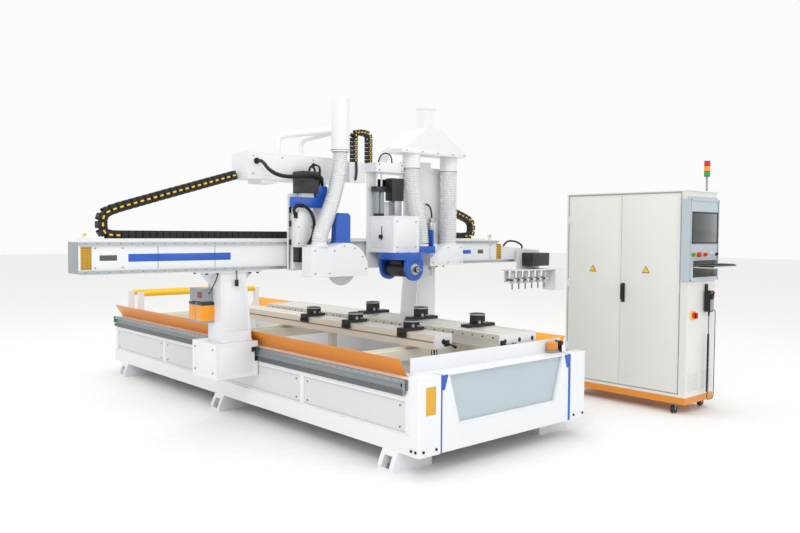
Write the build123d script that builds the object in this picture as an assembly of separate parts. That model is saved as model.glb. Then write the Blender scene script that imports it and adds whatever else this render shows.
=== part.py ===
from build123d import *
import math
import os

# Gantry CNC woodworking router: a long bed with movable work beams, a gantry that runs along it,
# a saw head, a swivelling milling head and a tool-change spindle on the gantry's beam, a tool
# magazine on the beam's end and an electrical cabinet beside the bed.
# Frame: the origin is on the floor, at the centre of the four corner anchor bolts. +X runs along
# the gantry's beam, +Y from the front of the bed to its back, +Z up. Millimetres.

# ---- Fits ----
bearing_gap = 0.05

# ---- Bed ----
bed_length = 4746.0
bed_half_width = 842.0
bed_under = 130.0
bed_top = 600.0
side_beam_width = 142.0
side_beam_wall = 8.0
end_beam_depth = 60.0
cross_tube = 100.0
cross_tube_count = 5
deck_level = 300.0
deck_sheet = 5.0
ledge_height = 120.0
ledge_proud = 12.0
panel_low = 262.0
panel_high = 458.0
panel_recess = 5.0
panel_sheet = 3.0
panel_count = 4
panel_gap = 1.5
panel_rib = 46.0

# ---- Feet and anchor bolts ----
anchor_outset = 28.0
anchor_spacing_x = 2 * (bed_half_width + anchor_outset)
anchor_spacing_y = 4210.0
anchor_radius = 11.0
middle_foot_y = 105.0
foot_length = 150.0
foot_outset = 55.0
foot_reach = bed_half_width + foot_outset
foot_depth = 282.0
foot_root = bed_half_width - foot_depth
foot_plate = 20.0
foot_lip = 34.0
foot_window_width = 78.0
foot_window_top = 98.0
leveler_radius = 12.0
leveler_inset = 44.0
leveler_nut_radius = 18.0

# ---- Front covers ----
post_width = 185.0
post_depth = 95.0
post_proud = 15.0
post_chamfer = 14.0
cover_sheet = 4.0
cover_top = 624.0
fascia_setback = 8.0
fascia_gap = 20.0
fascia_depth = 87.0
fascia_face = 25.0
recess_top_inset = 242.0
recess_bottom_inset = 342.0
recess_top_half = bed_half_width - recess_top_inset
recess_bottom_half = bed_half_width - recess_bottom_inset
recess_bottom = 287.0
recess_panel = 4.0
rim_sheet = 10.0

# ---- Rails on the bed ----
rail_height = 24.0
rail_proud = 22.0
rail_low = 574.0
rack_height = 25.0
rack_proud = 18.0
rack_low = 500.0
rail_front_gap = 42.0

# ---- Sheet guards ----
guard_inset = 74.0
guard_inner = bed_half_width - guard_inset
guard_flange = 12.0
guard_flare = 76.0
guard_rise = 120.0
guard_sheet = 3.0
guard_front = -2180.0
guard_back = 2350.0
front_wall_y = -2190.0
front_wall_top = 715.0
front_step = 20.0

# ---- Rollers at the back ----
roller_radius = 28.0
roller_inset = 177.0
roller_half_length = bed_half_width - roller_inset
roller_level = 845.0
roller_ys = (2080.0, 2330.0)
roller_post = 52.0
roller_journal = 8.0
roller_journal_length = 30.0

# ---- Cross supports and work beams ----
support_ys = (-1550.0, 100.0, 1750.0)
support_depth = 80.0
support_top = 650.0
support_inset = 80.0
support_reach = bed_half_width - support_inset
slide_rail_width = 20.0
slide_rail_height = 18.0
slide_gap = 0.4
slide_block = 16.6
slide_block_length = 70.0
beam_section_height = 100.0
beam_a_x = -175.0
beam_a_width = 180.0
beam_a_ends = (-1880.0, 1150.0)
beam_b_x = 115.0
beam_b_widths = (120.0, 180.0, 90.0)
beam_b_gap = 10.0
beam_b_ends = (-2150.0, 900.0)
beam_slot = 12.0
beam_slot_depth = 9.0
beam_hole_pitch = 100.0
beam_hole_radius = 7.0
pod_a_ys = (-310.0, -889.0, -1555.0)
pod_b_ys = (-430.0, -1060.0, -1700.0)
pod_length = 84.0
pod_plate = 22.0
pod_neck_a = 40.0
pod_neck_b = 64.0
pod_neck_width = 92.0
pod_neck_length = 76.0
pod_cup_radius = 60.0
pod_cup_height = 14.0
pod_jaw = 44.0
pod_jaw_sheet = 18.0
pod_gap = 0.4

# ---- Gantry ----
housing_clearance = 5.0
housing_width = 361.0
housing_inner = bed_half_width + housing_clearance
housing_outer = housing_inner + housing_width
housing_y = (-501.0, -113.0)
housing_z = (377.0, 650.0)
housing_sheet = 4.0
column_y = (-450.0, -245.0)
column_setback = 25.0
column_foot_width = 268.0
column_top_width = 220.0
column_inner = housing_inner + column_setback
column_outer = column_inner + column_foot_width
column_top_inner = column_outer - column_top_width
column_wall = 8.0
flange_inner_reach = 130.0
flange_outer_reach = 140.0
flange_inner = column_top_inner - flange_inner_reach
flange_outer = column_outer + flange_outer_reach
flange_sheet = 15.0
gantry_beam_x = (-2205.0, 2018.0)
gantry_beam_y = (-467.0, -260.0)
gantry_beam_low = 1205.0
gantry_beam_height = 229.0
gantry_beam_wall = 8.0
head_rail_height = 20.0
head_rail_proud = 20.0
head_rail_inset = 7.0
tray_y = (-356.0, -264.0)
tray_sheet = 3.0
tray_lip = 18.0
magazine_arm_end = 2660.0
magazine_arm_depth = 110.0
running_gap = 0.5

# ---- Saw unit ----
saw_plate_x = (-575.0, -205.0)
head_plate = 20.0
saw_plate_z = (1195.0, 1815.0)
cable_box_x = (-913.0, 20.0)
cable_box_y = (-470.0, -220.0)
cable_box_z = (1920.0, 2130.0)
box_sheet = 3.0
saw_slide_x = (-552.0, -392.0)
saw_slide_front = -604.0
saw_slide_z = (1385.0, 1700.0)
saw_swivel_x = -435.0
saw_swivel_y = -750.0
hose_small_radius = 63.0
hose_sheet = 2.0
saw_axis_x = -215.0
saw_axis_z = 1224.0
saw_blade_radius = 150.0
saw_blade_sheet = 3.2
arbor_radius = 12.0
guard_left = -553.0
guard_shoulder = 1392.0
guard_low = 1150.0
guard_round = 230.0
guard_round_z = 1190.0
guard_half_width = 65.0
guard_shell = 4.0
duct_x = -116.0
duct_y = -600.0
duct_radius = 75.0
duct_z = (2172.0, 2612.0)

# ---- Milling and spindle unit ----
spindle_plate_x = (245.0, 1265.0)
spindle_plate_z = (1195.0, 1640.0)
yoke_cover_x = (262.0, 560.0)
yoke_cover_y = (-845.0, -523.0)
yoke_cover_z = (1335.0, 1648.0)
yoke_x = 452.0
yoke_y = -730.0
yoke_turntable_radius = 203.0
yoke_turntable_z = (1297.0, 1335.0)
yoke_cheek_half_width = 98.0
yoke_cheek_reach = 178.0
yoke_cheek_sheet = 30.0
yoke_spindle_z = 1192.0
yoke_bore = 46.0
mill_motor_radius = 68.0
mill_nose_radius = 22.0
mill_nose_reach = 960.0
hose_large_radius = 84.0
collar_radius = 80.0
collar_z = (2066.0, 2206.0)
collar_1 = (640.0, -650.0)
collar_2 = (1145.0, -611.0)
hood_left = 450.0
hood_right = 1262.0
hood_y = (-738.0, -515.0)
hood_top = 2442.0
hood_rim_height = 34.0
hood_shoulder_height = 84.0
hood_duct_x = (762.0, 900.0)
hood_duct_y = (-680.0, -580.0)
hood_duct_top = 2645.0
spindle_x = 930.0
spindle_y = -615.0
spindle_radius = 55.0
spindle_cover_x = (835.0, 1262.0)
spindle_cover_y = (-700.0, -523.0)
spindle_cover_z = (1203.0, 1400.0)
cylinder_x = (300.0, 355.0)
cylinder_y = -575.0
cylinder_radius = 24.0
cylinder_top = 1905.0

# ---- Tool magazine ----
magazine_x = (2030.0, 2860.0)
magazine_back_x = (2280.0, 2650.0)
magazine_y = (-690.0, -513.0)
magazine_shelf = 1132.0
tool_holder_count = 6
tool_holder_pitch = 105.0
tool_holder_radius = 31.0

# ---- Electrical cabinet ----
cabinet_x = (1982.0, 2464.0)
cabinet_y = (-2573.0, -1361.0)
cabinet_z = (141.0, 1870.0)
cabinet_sheet = 3.0
cabinet_frame = 30.0
plinth_low = 83.0
caster_radius = 36.0
caster_width = 28.0
door_y = (-2500.0, -1390.0)
door_z = (175.0, 1850.0)
door_seam = 1945.0
door_sheet = 20.0
door_gap = 2.0
hinge_axis = (1976.0, 2.0)
hinge_pin_r = 5.5
hinge_length = 70.0
hinge_levels = (420.0, 1010.0, 1600.0)
console_x = (1964.0, 2450.0)
console_proud = 30.0
console_z = (1120.0, 1800.0)
console_strip_back = -2520.0
console_recess = 6.0
console_rim = 14.0
pocket_x = (2012.0, 2438.0)
pocket_z = (1150.0, 1290.0)
button_level = 1340.0
button_x = (2005.0, 2100.0, 2210.0)
selector_x = (2335.0, 2410.0)
button_radius = 11.0
button_travel = 5.0
tray_reach = 180.0
tray_level = 1232.0
switch_level = 830.0
handle_level = 1002.0
curl_radius = 11.0
cord_radius = 3.5
curl_z = (155.0, 665.0)


def block(x, y, z):
    """A box between the low and the high of each axis."""
    middle = Pos(sum(x) / 2, sum(y) / 2, sum(z) / 2)
    return middle * Box(x[1] - x[0], y[1] - y[0], z[1] - z[0])


def rod(radius, start, end):
    """A round bar between two points."""
    line = Vector(*end) - Vector(*start)
    foot = Plane(origin=start, z_dir=line)
    return foot * Cylinder(radius, line.length, align=(Align.CENTER, Align.CENTER, Align.MIN))


def pipe(outer, inner, start, end):
    """A round tube between two points, open at both ends."""
    return rod(outer, start, end) - rod(inner, start, end)


def plate_xz(points, y):
    """A plate whose outline is given in X and Z, between two Y values."""
    outline = Polyline([(px, y[0], pz) for px, pz in points], close=True)
    return extrude(make_face(outline), amount=y[1] - y[0], dir=(0, 1, 0))


def plate_yz(points, x):
    """A plate whose outline is given in Y and Z, between two X values."""
    outline = Polyline([(x[0], py, pz) for py, pz in points], close=True)
    return extrude(make_face(outline), amount=x[1] - x[0], dir=(1, 0, 0))


def plate_xy(points, z):
    """A plate whose outline is given in X and Y, between two Z values."""
    outline = Polyline([(px, py, z[0]) for px, py in points], close=True)
    return extrude(make_face(outline), amount=z[1] - z[0], dir=(0, 0, 1))


def mirrored(shape):
    """The same piece on the other side of the bed."""
    return mirror(shape, about=Plane.YZ)


def both_sides(shape):
    """A piece of the left side and its mirror image."""
    return [shape, mirrored(shape)]


def save(name, *solids):
    """Write one node; several solids go in as a group."""
    pieces = [solid for shape in solids for solid in shape.solids()]
    whole = pieces[0] if len(pieces) == 1 else Compound(children=pieces)
    export_step(whole, f"parts/{name}.step")


# ---- Bed ----
bed_front = -bed_length / 2
bed_back = bed_length / 2
frame_front = bed_front + post_depth
beam_inner = bed_half_width - side_beam_width
foot_ys = (-anchor_spacing_y / 2, middle_foot_y, anchor_spacing_y / 2)
panel_pitch = (bed_back - frame_front - panel_rib) / panel_count


def side_panel_span(index):
    """Where one access panel's opening starts and ends along the bed."""
    low = frame_front + panel_rib + index * panel_pitch
    return (low, low + panel_pitch - panel_rib)


def side_beam():
    """Left box beam of the bed with its ledge and the openings behind the access panels."""
    low_x = -bed_half_width
    wall = side_beam_wall
    beam = block((low_x, -beam_inner), (frame_front, bed_back), (bed_under, bed_top))
    hollow = block((low_x + wall, -beam_inner - wall), (frame_front, bed_back),
                   (bed_under + wall, bed_top - wall))
    beam = beam - hollow
    beam = beam + block((low_x - ledge_proud, low_x), (frame_front, bed_back),
                        (bed_under, bed_under + ledge_height))
    for index in range(panel_count):
        beam = beam - block((low_x, low_x + panel_recess), side_panel_span(index),
                            (panel_low, panel_high))
    return beam


def front_wall():
    """Sheet step behind the front cover, between the two sheet guards."""
    reach = guard_inner
    step = block((-reach, reach), (frame_front, front_wall_y), (bed_top, bed_top + front_step))
    return step + block((-reach, reach), (front_wall_y - 6, front_wall_y), (bed_top, front_wall_top))


def roller_posts(side):
    """Two posts at one end of the back rollers, each with a bore for the roller's journal."""
    posts = []
    low = roller_half_length + running_gap
    for y in roller_ys:
        x = sorted((side * low, side * (low + roller_post)))
        post = block(x, (y - roller_post / 2, y + roller_post / 2),
                     (deck_level, roller_level + roller_journal * 2))
        bore = rod(roller_journal + bearing_gap, (x[0], y, roller_level), (x[1], y, roller_level))
        posts.append(post - bore)
    return posts


def foot(side, y):
    """Welded foot with a window for its levelling screw and an anchor bolt hole in its lip."""
    outline = [(foot_root, 0), (foot_reach, 0), (foot_reach, foot_lip),
               (bed_half_width + ledge_proud, bed_under), (foot_root, bed_under)]
    shape = plate_xz([(side * px, pz) for px, pz in outline], (y - foot_length / 2, y + foot_length / 2))
    anchor_x = anchor_spacing_x / 2
    window_x = sorted((side * (anchor_x - leveler_inset - leveler_nut_radius * 1.6), side * (foot_reach + 1)))
    window_y = (y - foot_window_width / 2, y + foot_window_width / 2)
    shape = shape - block(window_x, window_y, (foot_plate, foot_window_top))
    return shape - rod(anchor_radius, (side * anchor_x, y, -1), (side * anchor_x, y, foot_plate + 1))


def bed_frame():
    """Welded bed: two side beams, cross tubes, end beams, deck sheet, feet and roller posts."""
    left = side_beam()
    frame = left + mirrored(left)
    inside = (-beam_inner, beam_inner)
    pitch = (bed_back - frame_front) / (cross_tube_count + 1)
    for index in range(cross_tube_count):
        y = frame_front + pitch * (index + 1)
        frame = frame + block(inside, (y - cross_tube / 2, y + cross_tube / 2),
                              (bed_under, bed_under + cross_tube))
    for y in (frame_front, bed_back - end_beam_depth):
        frame = frame + block(inside, (y, y + end_beam_depth), (bed_under, bed_top - 10))
    frame = frame + block(inside, (frame_front, bed_back), (deck_level, deck_level + deck_sheet))
    frame = frame + front_wall()
    for side in (-1, 1):
        for post in roller_posts(side):
            frame = frame + post
        for y in foot_ys:
            frame = frame + foot(side, y)
    return frame


def leveling_screws():
    """Six levelling screws, one in each foot's window, with their nuts."""
    screws = []
    for side in (-1, 1):
        x = side * (anchor_spacing_x / 2 - leveler_inset)
        for y in foot_ys:
            screw = rod(leveler_radius, (x, y, foot_plate), (x, y, foot_window_top))
            nut = rod(leveler_nut_radius, (x, y, foot_plate + 30), (x, y, foot_plate + 44))
            screws.append(screw + nut)
    return screws


def corner_post():
    """Folded sheet cover over the front left corner of the bed, open at its back."""
    outer_x = -(bed_half_width + post_proud)
    inner_x = outer_x + post_width
    back = bed_front + post_depth
    outline = [(outer_x, back), (outer_x, bed_front + post_chamfer), (outer_x + post_chamfer, bed_front),
               (inner_x, bed_front), (inner_x, back)]
    post = plate_xy(outline, (bed_under, cover_top))
    hollow = block((outer_x + cover_sheet + post_chamfer / 2, inner_x - cover_sheet),
                   (bed_front + cover_sheet + post_chamfer / 2, back), (bed_under, cover_top - cover_sheet))
    return post - hollow


fascia_half = bed_half_width + post_proud - post_width - fascia_gap
fascia_front = bed_front + fascia_setback


def recess_outline(grow):
    """Outline of the trapezoid recess in the front cover."""
    return [(-recess_bottom_half - grow, recess_bottom - grow), (recess_bottom_half + grow, recess_bottom - grow),
            (recess_top_half + grow, cover_top - rim_sheet), (-recess_top_half - grow, cover_top - rim_sheet)]


def front_fascia():
    """Front cover between the corner posts with its trapezoid recess and top rim."""
    back = fascia_front + fascia_depth
    shell = block((-fascia_half, fascia_half), (fascia_front, back), (bed_under, cover_top))
    hollow = block((-fascia_half + rim_sheet, fascia_half - rim_sheet), (fascia_front + fascia_face, back),
                   (bed_under, cover_top - rim_sheet))
    shell = shell - hollow
    return shell - plate_xz(recess_outline(0), (fascia_front, fascia_front + fascia_face))


def fascia_panel():
    """Painted panel behind the recess of the front cover."""
    y = (fascia_front + fascia_face, fascia_front + fascia_face + recess_panel)
    return plate_xz(recess_outline(12), y)


def side_panels():
    """Access panels in the recesses of both side beams."""
    panels = []
    low_x = -bed_half_width + panel_recess - panel_sheet
    for index in range(panel_count):
        low, high = side_panel_span(index)
        panel = block((low_x, low_x + panel_sheet), (low + panel_gap, high - panel_gap),
                      (panel_low + panel_gap, panel_high - panel_gap))
        panels.extend(both_sides(panel))
    return panels


def bed_rails():
    """Guide rail, gear rack and rail stop on the outside of each side beam."""
    face = -bed_half_width
    y = (frame_front + rail_front_gap, bed_back)
    rail = block((face - rail_proud, face), y, (rail_low, rail_low + rail_height))
    rack = block((face - rack_proud, face), y, (rack_low, rack_low + rack_height))
    stop = block((face - rail_proud - 8, face), (y[0] - 20, y[0]), (rack_low + 30, rail_low + rail_height))
    return both_sides(rail) + both_sides(rack) + both_sides(stop)


def sheet_guards():
    """Flared sheet guards that keep chips off the rails."""
    foot_x = -guard_inner
    bend = foot_x - guard_flange
    top = bend - guard_flare
    outline = [(foot_x, bed_top), (bend, bed_top), (top, bed_top + guard_rise),
               (top + guard_sheet, bed_top + guard_rise + guard_sheet / 2),
               (bend + guard_sheet / 2, bed_top + guard_sheet), (foot_x, bed_top + guard_sheet)]
    return both_sides(plate_xz(outline, (guard_front, guard_back)))


def roller(y):
    """One idle roller with its journals."""
    low = (-roller_half_length, y, roller_level)
    high = (roller_half_length, y, roller_level)
    journal = roller_half_length + roller_journal_length
    return rod(roller_radius, low, high) + rod(roller_journal, (-journal, y, roller_level), (journal, y, roller_level))


# ---- Work beams ----
beam_low = support_top + slide_rail_height + slide_gap + slide_block
beam_top = beam_low + beam_section_height


def cross_support(y):
    """Cross beam with its legs, standing on the side beams and the deck, with the slide rail on top."""
    depth = (y - support_depth / 2, y + support_depth / 2)
    support = block((-support_reach, support_reach), depth, (bed_top, support_top))
    support = support + block((-beam_inner, beam_inner), depth, (bed_top - 30, bed_top))
    for x in (-330.0, 330.0):
        leg = block((x - 30, x + 30), (y - 30, y + 30), (deck_level + deck_sheet, bed_top - 30))
        support = support + leg
    rail = block((-beam_inner, beam_inner), (y - slide_rail_width / 2, y + slide_rail_width / 2),
                 (support_top, support_top + slide_rail_height))
    return support + rail


def beam_section(x, y):
    """Aluminium profile with a slot in its top and in both its sides."""
    profile = block(x, y, (beam_low, beam_top))
    half = beam_slot / 2
    middle_z = (beam_low + beam_top) / 2
    middle_x = sum(x) / 2
    for low in (x[0], x[1] - beam_slot_depth):
        profile = profile - block((low, low + beam_slot_depth), y, (middle_z - half, middle_z + half))
    return profile - block((middle_x - half, middle_x + half), y, (beam_top - beam_slot_depth, beam_top))


def covered_supports(ends):
    """The cross supports that a work beam of this length passes over."""
    return [y for y in support_ys if ends[0] < y < ends[1]]


def work_beam(x, ends):
    """One profile with its bearing blocks."""
    beam = beam_section(x, ends)
    for y in covered_supports(ends):
        beam = beam + block((x[0] + 20, x[1] - 20), (y - slide_block_length / 2, y + slide_block_length / 2),
                            (support_top + slide_rail_height + slide_gap, beam_low))
    return beam


def work_beam_a():
    """Single work beam with its end plates."""
    half = beam_a_width / 2
    x = (beam_a_x - half, beam_a_x + half)
    beam = work_beam(x, beam_a_ends)
    for y in (beam_a_ends[0] - 10, beam_a_ends[1]):
        beam = beam + block(x, (y, y + 10), (beam_low, beam_top))
    return beam


def beam_b_spans():
    """X spans of the three profiles of the wide work beam."""
    spans = []
    low = beam_b_x
    for width in beam_b_widths:
        spans.append((low, low + width))
        low = low + width + beam_b_gap
    return spans


def work_beam_b():
    """Wide work beam of three profiles joined by end plates, with a perforated side."""
    spans = beam_b_spans()
    beam = None
    for span in spans:
        profile = work_beam(span, beam_b_ends)
        beam = profile if beam is None else beam + profile
    for y in (beam_b_ends[0] - 10, beam_b_ends[1]):
        beam = beam + block((spans[0][0], spans[-1][1]), (y, y + 10), (beam_low, beam_top))
    count = int((beam_b_ends[1] - beam_b_ends[0]) / beam_hole_pitch)
    level = beam_top - 24
    for index in range(count):
        y = beam_b_ends[0] + beam_hole_pitch * (index + 0.5)
        beam = beam - rod(beam_hole_radius, (beam_b_x - 1, y, level), (beam_b_x + 14, y, level))
    return beam


def pod(x, jaw_side, neck_height, y):
    """Clamping pod on a work beam, with a jaw over the beam's outer side and a suction cup on top."""
    low = beam_top + pod_gap
    length = (y - pod_length / 2, y + pod_length / 2)
    outer = x[0] - pod_gap if jaw_side < 0 else x[1] + pod_gap
    jaw_x = tuple(sorted((outer, outer + jaw_side * pod_jaw_sheet)))
    base = block((min(x[0], jaw_x[0]), max(x[1], jaw_x[1])), length, (low, low + pod_plate))
    base = base + block(jaw_x, length, (low - pod_jaw, low))
    middle = (x[0] + x[1]) / 2
    neck_low = low + pod_plate
    neck_half = pod_neck_width / 2
    neck = block((middle - neck_half, middle + neck_half), (y - pod_neck_length / 2, y + pod_neck_length / 2),
                 (neck_low, neck_low + neck_height))
    cup_low = neck_low + neck_height
    cup = rod(pod_cup_radius, (middle, y, cup_low), (middle, y, cup_low + pod_cup_height))
    return base + neck + cup


def pod_a(y):
    """Pod on the single work beam."""
    half = beam_a_width / 2
    return pod((beam_a_x - half, beam_a_x + half), -1, pod_neck_a, y)


def pod_b(y):
    """Pod on the second and third profile of the wide work beam."""
    spans = beam_b_spans()
    return pod((spans[1][0], spans[2][1]), 1, pod_neck_b, y)


# ---- Gantry ----
beam_front = gantry_beam_y[0]
gantry_beam_top = gantry_beam_low + gantry_beam_height
rail_face = beam_front - head_rail_proud
head_rail_levels = (gantry_beam_low + head_rail_inset, gantry_beam_top - head_rail_inset - head_rail_height)
column_top = gantry_beam_low - flange_sheet


def foot_housing():
    """Sheet box over the left gantry foot, open towards the bed, cut out for the rails."""
    sheet = housing_sheet
    shell = block((-housing_outer, -housing_inner), housing_y, housing_z)
    hollow = block((-housing_outer + sheet, -housing_inner), (housing_y[0] + sheet, housing_y[1] - sheet),
                   (housing_z[0] + sheet, housing_z[1] - sheet))
    shell = shell - hollow
    notch = block((-bed_half_width - rail_proud - 12, -housing_inner), housing_y, (rack_low - 8, rail_low + rail_height + 8))
    return shell - notch


def bearing_block(y):
    """Bearing block that wraps the left guide rail."""
    face = -bed_half_width
    shape = block((face - rail_proud - 40, face - 4), (y - 40, y + 40), (rail_low - 12, rail_low + rail_height + 12))
    groove = block((face - rail_proud - running_gap, face - 4), (y - 40, y + 40),
                   (rail_low - running_gap, rail_low + rail_height + running_gap))
    return shape - groove


def column():
    """Left column: base block in the housing, tapered box and bolted head flange with gussets."""
    base_inner = -(bed_half_width + rail_proud + 40)
    base = block((-column_outer + 10, base_inner), (housing_y[0] + 30, housing_y[1] - 30), (440.0, housing_z[1] - housing_sheet))
    low_z = housing_z[1]
    outer = [(-column_outer, low_z), (-column_inner, low_z), (-column_top_inner, column_top), (-column_outer, column_top)]
    wall = column_wall
    inner = [(-column_outer + wall, low_z), (-column_inner - wall, low_z),
             (-column_top_inner - wall, column_top), (-column_outer + wall, column_top)]
    box = plate_xz(outer, column_y) - plate_xz(inner, (column_y[0] + wall, column_y[1] - wall))
    flange = block((-flange_outer, -flange_inner), (beam_front, gantry_beam_y[1] + 30), (column_top, gantry_beam_low))
    mid_y = (column_y[0] + column_y[1]) / 2
    gusset_out = plate_xz([(-column_outer, column_top - 130), (-column_outer, column_top), (-flange_outer + 12, column_top)],
                          (mid_y - 8, mid_y + 8))
    gusset_in = plate_xz([(-column_top_inner + 6, column_top - 110), (-flange_inner - 10, column_top), (-column_top_inner, column_top)],
                         (mid_y - 8, mid_y + 8))
    return [box + flange + gusset_out + gusset_in, base]


def gantry_columns():
    """Both columns with the base blocks that carry the bearing blocks."""
    solids = []
    for shape in column():
        solids.extend(both_sides(shape))
    return solids


def gantry_bearings():
    """Four bearing blocks, two on each side."""
    solids = []
    for y in (housing_y[0] + 80, housing_y[1] - 80):
        solids.extend(both_sides(bearing_block(y)))
    return solids


def gantry_beam():
    """Box beam with its chain tray, end posts and a sensor shelf."""
    wall = gantry_beam_wall
    beam = block(gantry_beam_x, gantry_beam_y, (gantry_beam_low, gantry_beam_top))
    hollow = block(gantry_beam_x, (beam_front + wall, gantry_beam_y[1] - wall),
                   (gantry_beam_low + wall, gantry_beam_top - wall))
    beam = beam - hollow
    for x in (gantry_beam_x[0], gantry_beam_x[1] - wall):
        beam = beam + block((x, x + wall), gantry_beam_y, (gantry_beam_low, gantry_beam_top))
    tray_x = (gantry_beam_x[0] + 60, gantry_beam_x[1] - 60)
    tray = block(tray_x, tray_y, (gantry_beam_top, gantry_beam_top + tray_lip))
    tray = tray - block(tray_x, (tray_y[0] + tray_sheet, tray_y[1] - tray_sheet),
                        (gantry_beam_top + tray_sheet, gantry_beam_top + tray_lip))
    beam = beam + tray
    for x in (gantry_beam_x[0] + 45, gantry_beam_x[1] - 85):
        beam = beam + block((x, x + 12), (beam_front + 20, beam_front + 60), (gantry_beam_top, gantry_beam_top + 55))
    return beam + magazine_arm()


def beam_rails():
    """Two guide rails on the front of the gantry's beam; the lower one runs on along the arm."""
    y = (rail_face, beam_front)
    lower, upper = head_rail_levels
    return [block((gantry_beam_x[0], magazine_arm_end - 8), y, (lower, lower + head_rail_height)),
            block(gantry_beam_x, y, (upper, upper + head_rail_height))]


def lubricator():
    """Grease pump box with its two reservoirs and bracket on the left column."""
    face = -column_outer
    box = block((face - 95, face - 2), (-330.0, -130.0), (965.0, 1065.0))
    bracket = block((face - 2, face), (-330.0, -130.0), (800.0, 1065.0))
    reservoir = block((face - 100, face - 2), (-345.0, -125.0), (800.0, 960.0))
    return box + bracket + reservoir


def magazine_arm():
    """Box arm on the right end of the beam that carries the tool magazine's slide."""
    x = (gantry_beam_x[1], magazine_arm_end)
    outline = [(x[0], 1205.0), (x[1], 1205.0), (x[1], 1330.0), (x[0] + 80, 1370.0), (x[0], 1370.0)]
    inner = [(x[0], 1211.0), (x[1] - 6, 1211.0), (x[1] - 6, 1324.0), (x[0] + 78, 1364.0), (x[0], 1364.0)]
    y = (beam_front, beam_front + magazine_arm_depth)
    return plate_xz(outline, y) - plate_xz(inner, (y[0] + 6, y[1]))


# ---- Drag chains ----
chain_height = 72.0
chain_width = 62.0
chain_y = (tray_y[0] + tray_y[1]) / 2


def chain(points, radii, width=chain_width, height=chain_height, y=chain_y):
    """Drag chain: a flat band swept along straight runs joined by arcs."""
    route = FilletPolyline([Vector(px, y, pz) for px, pz in points], radius=radii)
    section = Plane(origin=route @ 0, x_dir=(0, 1, 0), z_dir=route % 0) * Rectangle(width, height)
    return sweep(section, path=route)


chain_low = gantry_beam_top + tray_sheet + chain_height / 2 + 1
left_chain_route = [(-300.0, chain_low), (-1995.0, chain_low), (-1995.0, 1636.0), (-927.0, 1956.0)]
right_chain_route = [(560.0, chain_low), (1785.0, chain_low), (1785.0, 1631.0), (1290.0, 1790.0), (1083.0, 1912.0)]
z_chain_route = [(128.0, 2108.0), (128.0, 2370.0), (292.0, 2370.0), (292.0, 2108.0)]


def left_chain():
    """Chain from the tray up to the saw unit's cable box."""
    return chain(left_chain_route, (88.0, 88.0))


def right_chain():
    """Chain from the tray up to the spindle unit."""
    return chain(right_chain_route, (88.0, 88.0, 900.0))


def z_chain():
    """Upright loop of chain on top of the spindle unit."""
    return chain(z_chain_route, (80.0, 80.0), width=60.0, height=52.0, y=-470.0)


# ---- Saw unit ----
spigot_radius = hose_small_radius - hose_sheet - 0.4
plate_back = rail_face - 14
plate_front = plate_back - head_plate


def head_bearing(x, rail_z):
    """Bearing block wrapped round one rail of the beam."""
    reach = (x - 45, x + 45)
    shape = block(reach, (plate_back, beam_front - 3), (rail_z - 10, rail_z + head_rail_height + 10))
    return shape - block(reach, (rail_face - running_gap, beam_front),
                         (rail_z - running_gap, rail_z + head_rail_height + running_gap))


def head_bearings(x_values):
    """Bearing blocks of a head carriage on both rails of the beam."""
    blocks = [head_bearing(x, rail_z) for x in x_values for rail_z in head_rail_levels]
    whole = blocks[0]
    for shape in blocks[1:]:
        whole = whole + shape
    return whole


def saw_carriage():
    """Saddle of the saw unit: plate on bearing blocks, lift rails, motor bracket, motor and box gusset."""
    x = saw_plate_x
    saddle = block(x, (plate_front, plate_back), saw_plate_z)
    saddle = saddle + head_bearings((x[0] + 60, x[1] - 60))
    for rail_x in (saw_slide_x[0] + 15, saw_slide_x[1] - 35):
        saddle = saddle + block((rail_x, rail_x + 20), (plate_front - 14, plate_front), (1210.0, 1690.0))
    upright_x = (x[1] - 125, x[1])
    saddle = saddle + block(upright_x, (plate_front, plate_back), (saw_plate_z[1], cable_box_z[0]))
    gusset = plate_yz([(plate_back, 1640.0), (cable_box_y[1] - 20, cable_box_z[0] - 25),
                       (cable_box_y[1] - 20, cable_box_z[0]), (plate_back, cable_box_z[0])], (upright_x[0] + 50, upright_x[0] + 66))
    return saddle + gusset


def saw_lift_motor():
    """Lift motor and the bracket that it stands on."""
    bracket = block((-560.0, -240.0), (-588.0, plate_front), (1705.0, 1785.0))
    bracket = bracket + block((-352.0, -240.0), (-588.0, plate_front), (1785.0, 1880.0))
    motor = block((-505.0, -357.0), (-628.0, -485.0), (1817.0, 1992.0))
    neck = block((-490.0, -372.0), (-586.0, plate_front - 5), (1785.0, 1817.0))
    return [bracket, motor + neck]


def saw_cable_box():
    """Long sheet box over the beam with a stiffening pad, open at its back."""
    x, y, z = cable_box_x, cable_box_y, cable_box_z
    box = block(x, y, z)
    hollow = block((x[0] + box_sheet, x[1] - box_sheet), (y[0] + box_sheet, y[1]), (z[0] + box_sheet, z[1] - box_sheet))
    pad = block((-780.0, -640.0), (y[0] + 10, y[1] - 20), (z[0] - 30, z[0]))
    return box - hollow + pad


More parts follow.
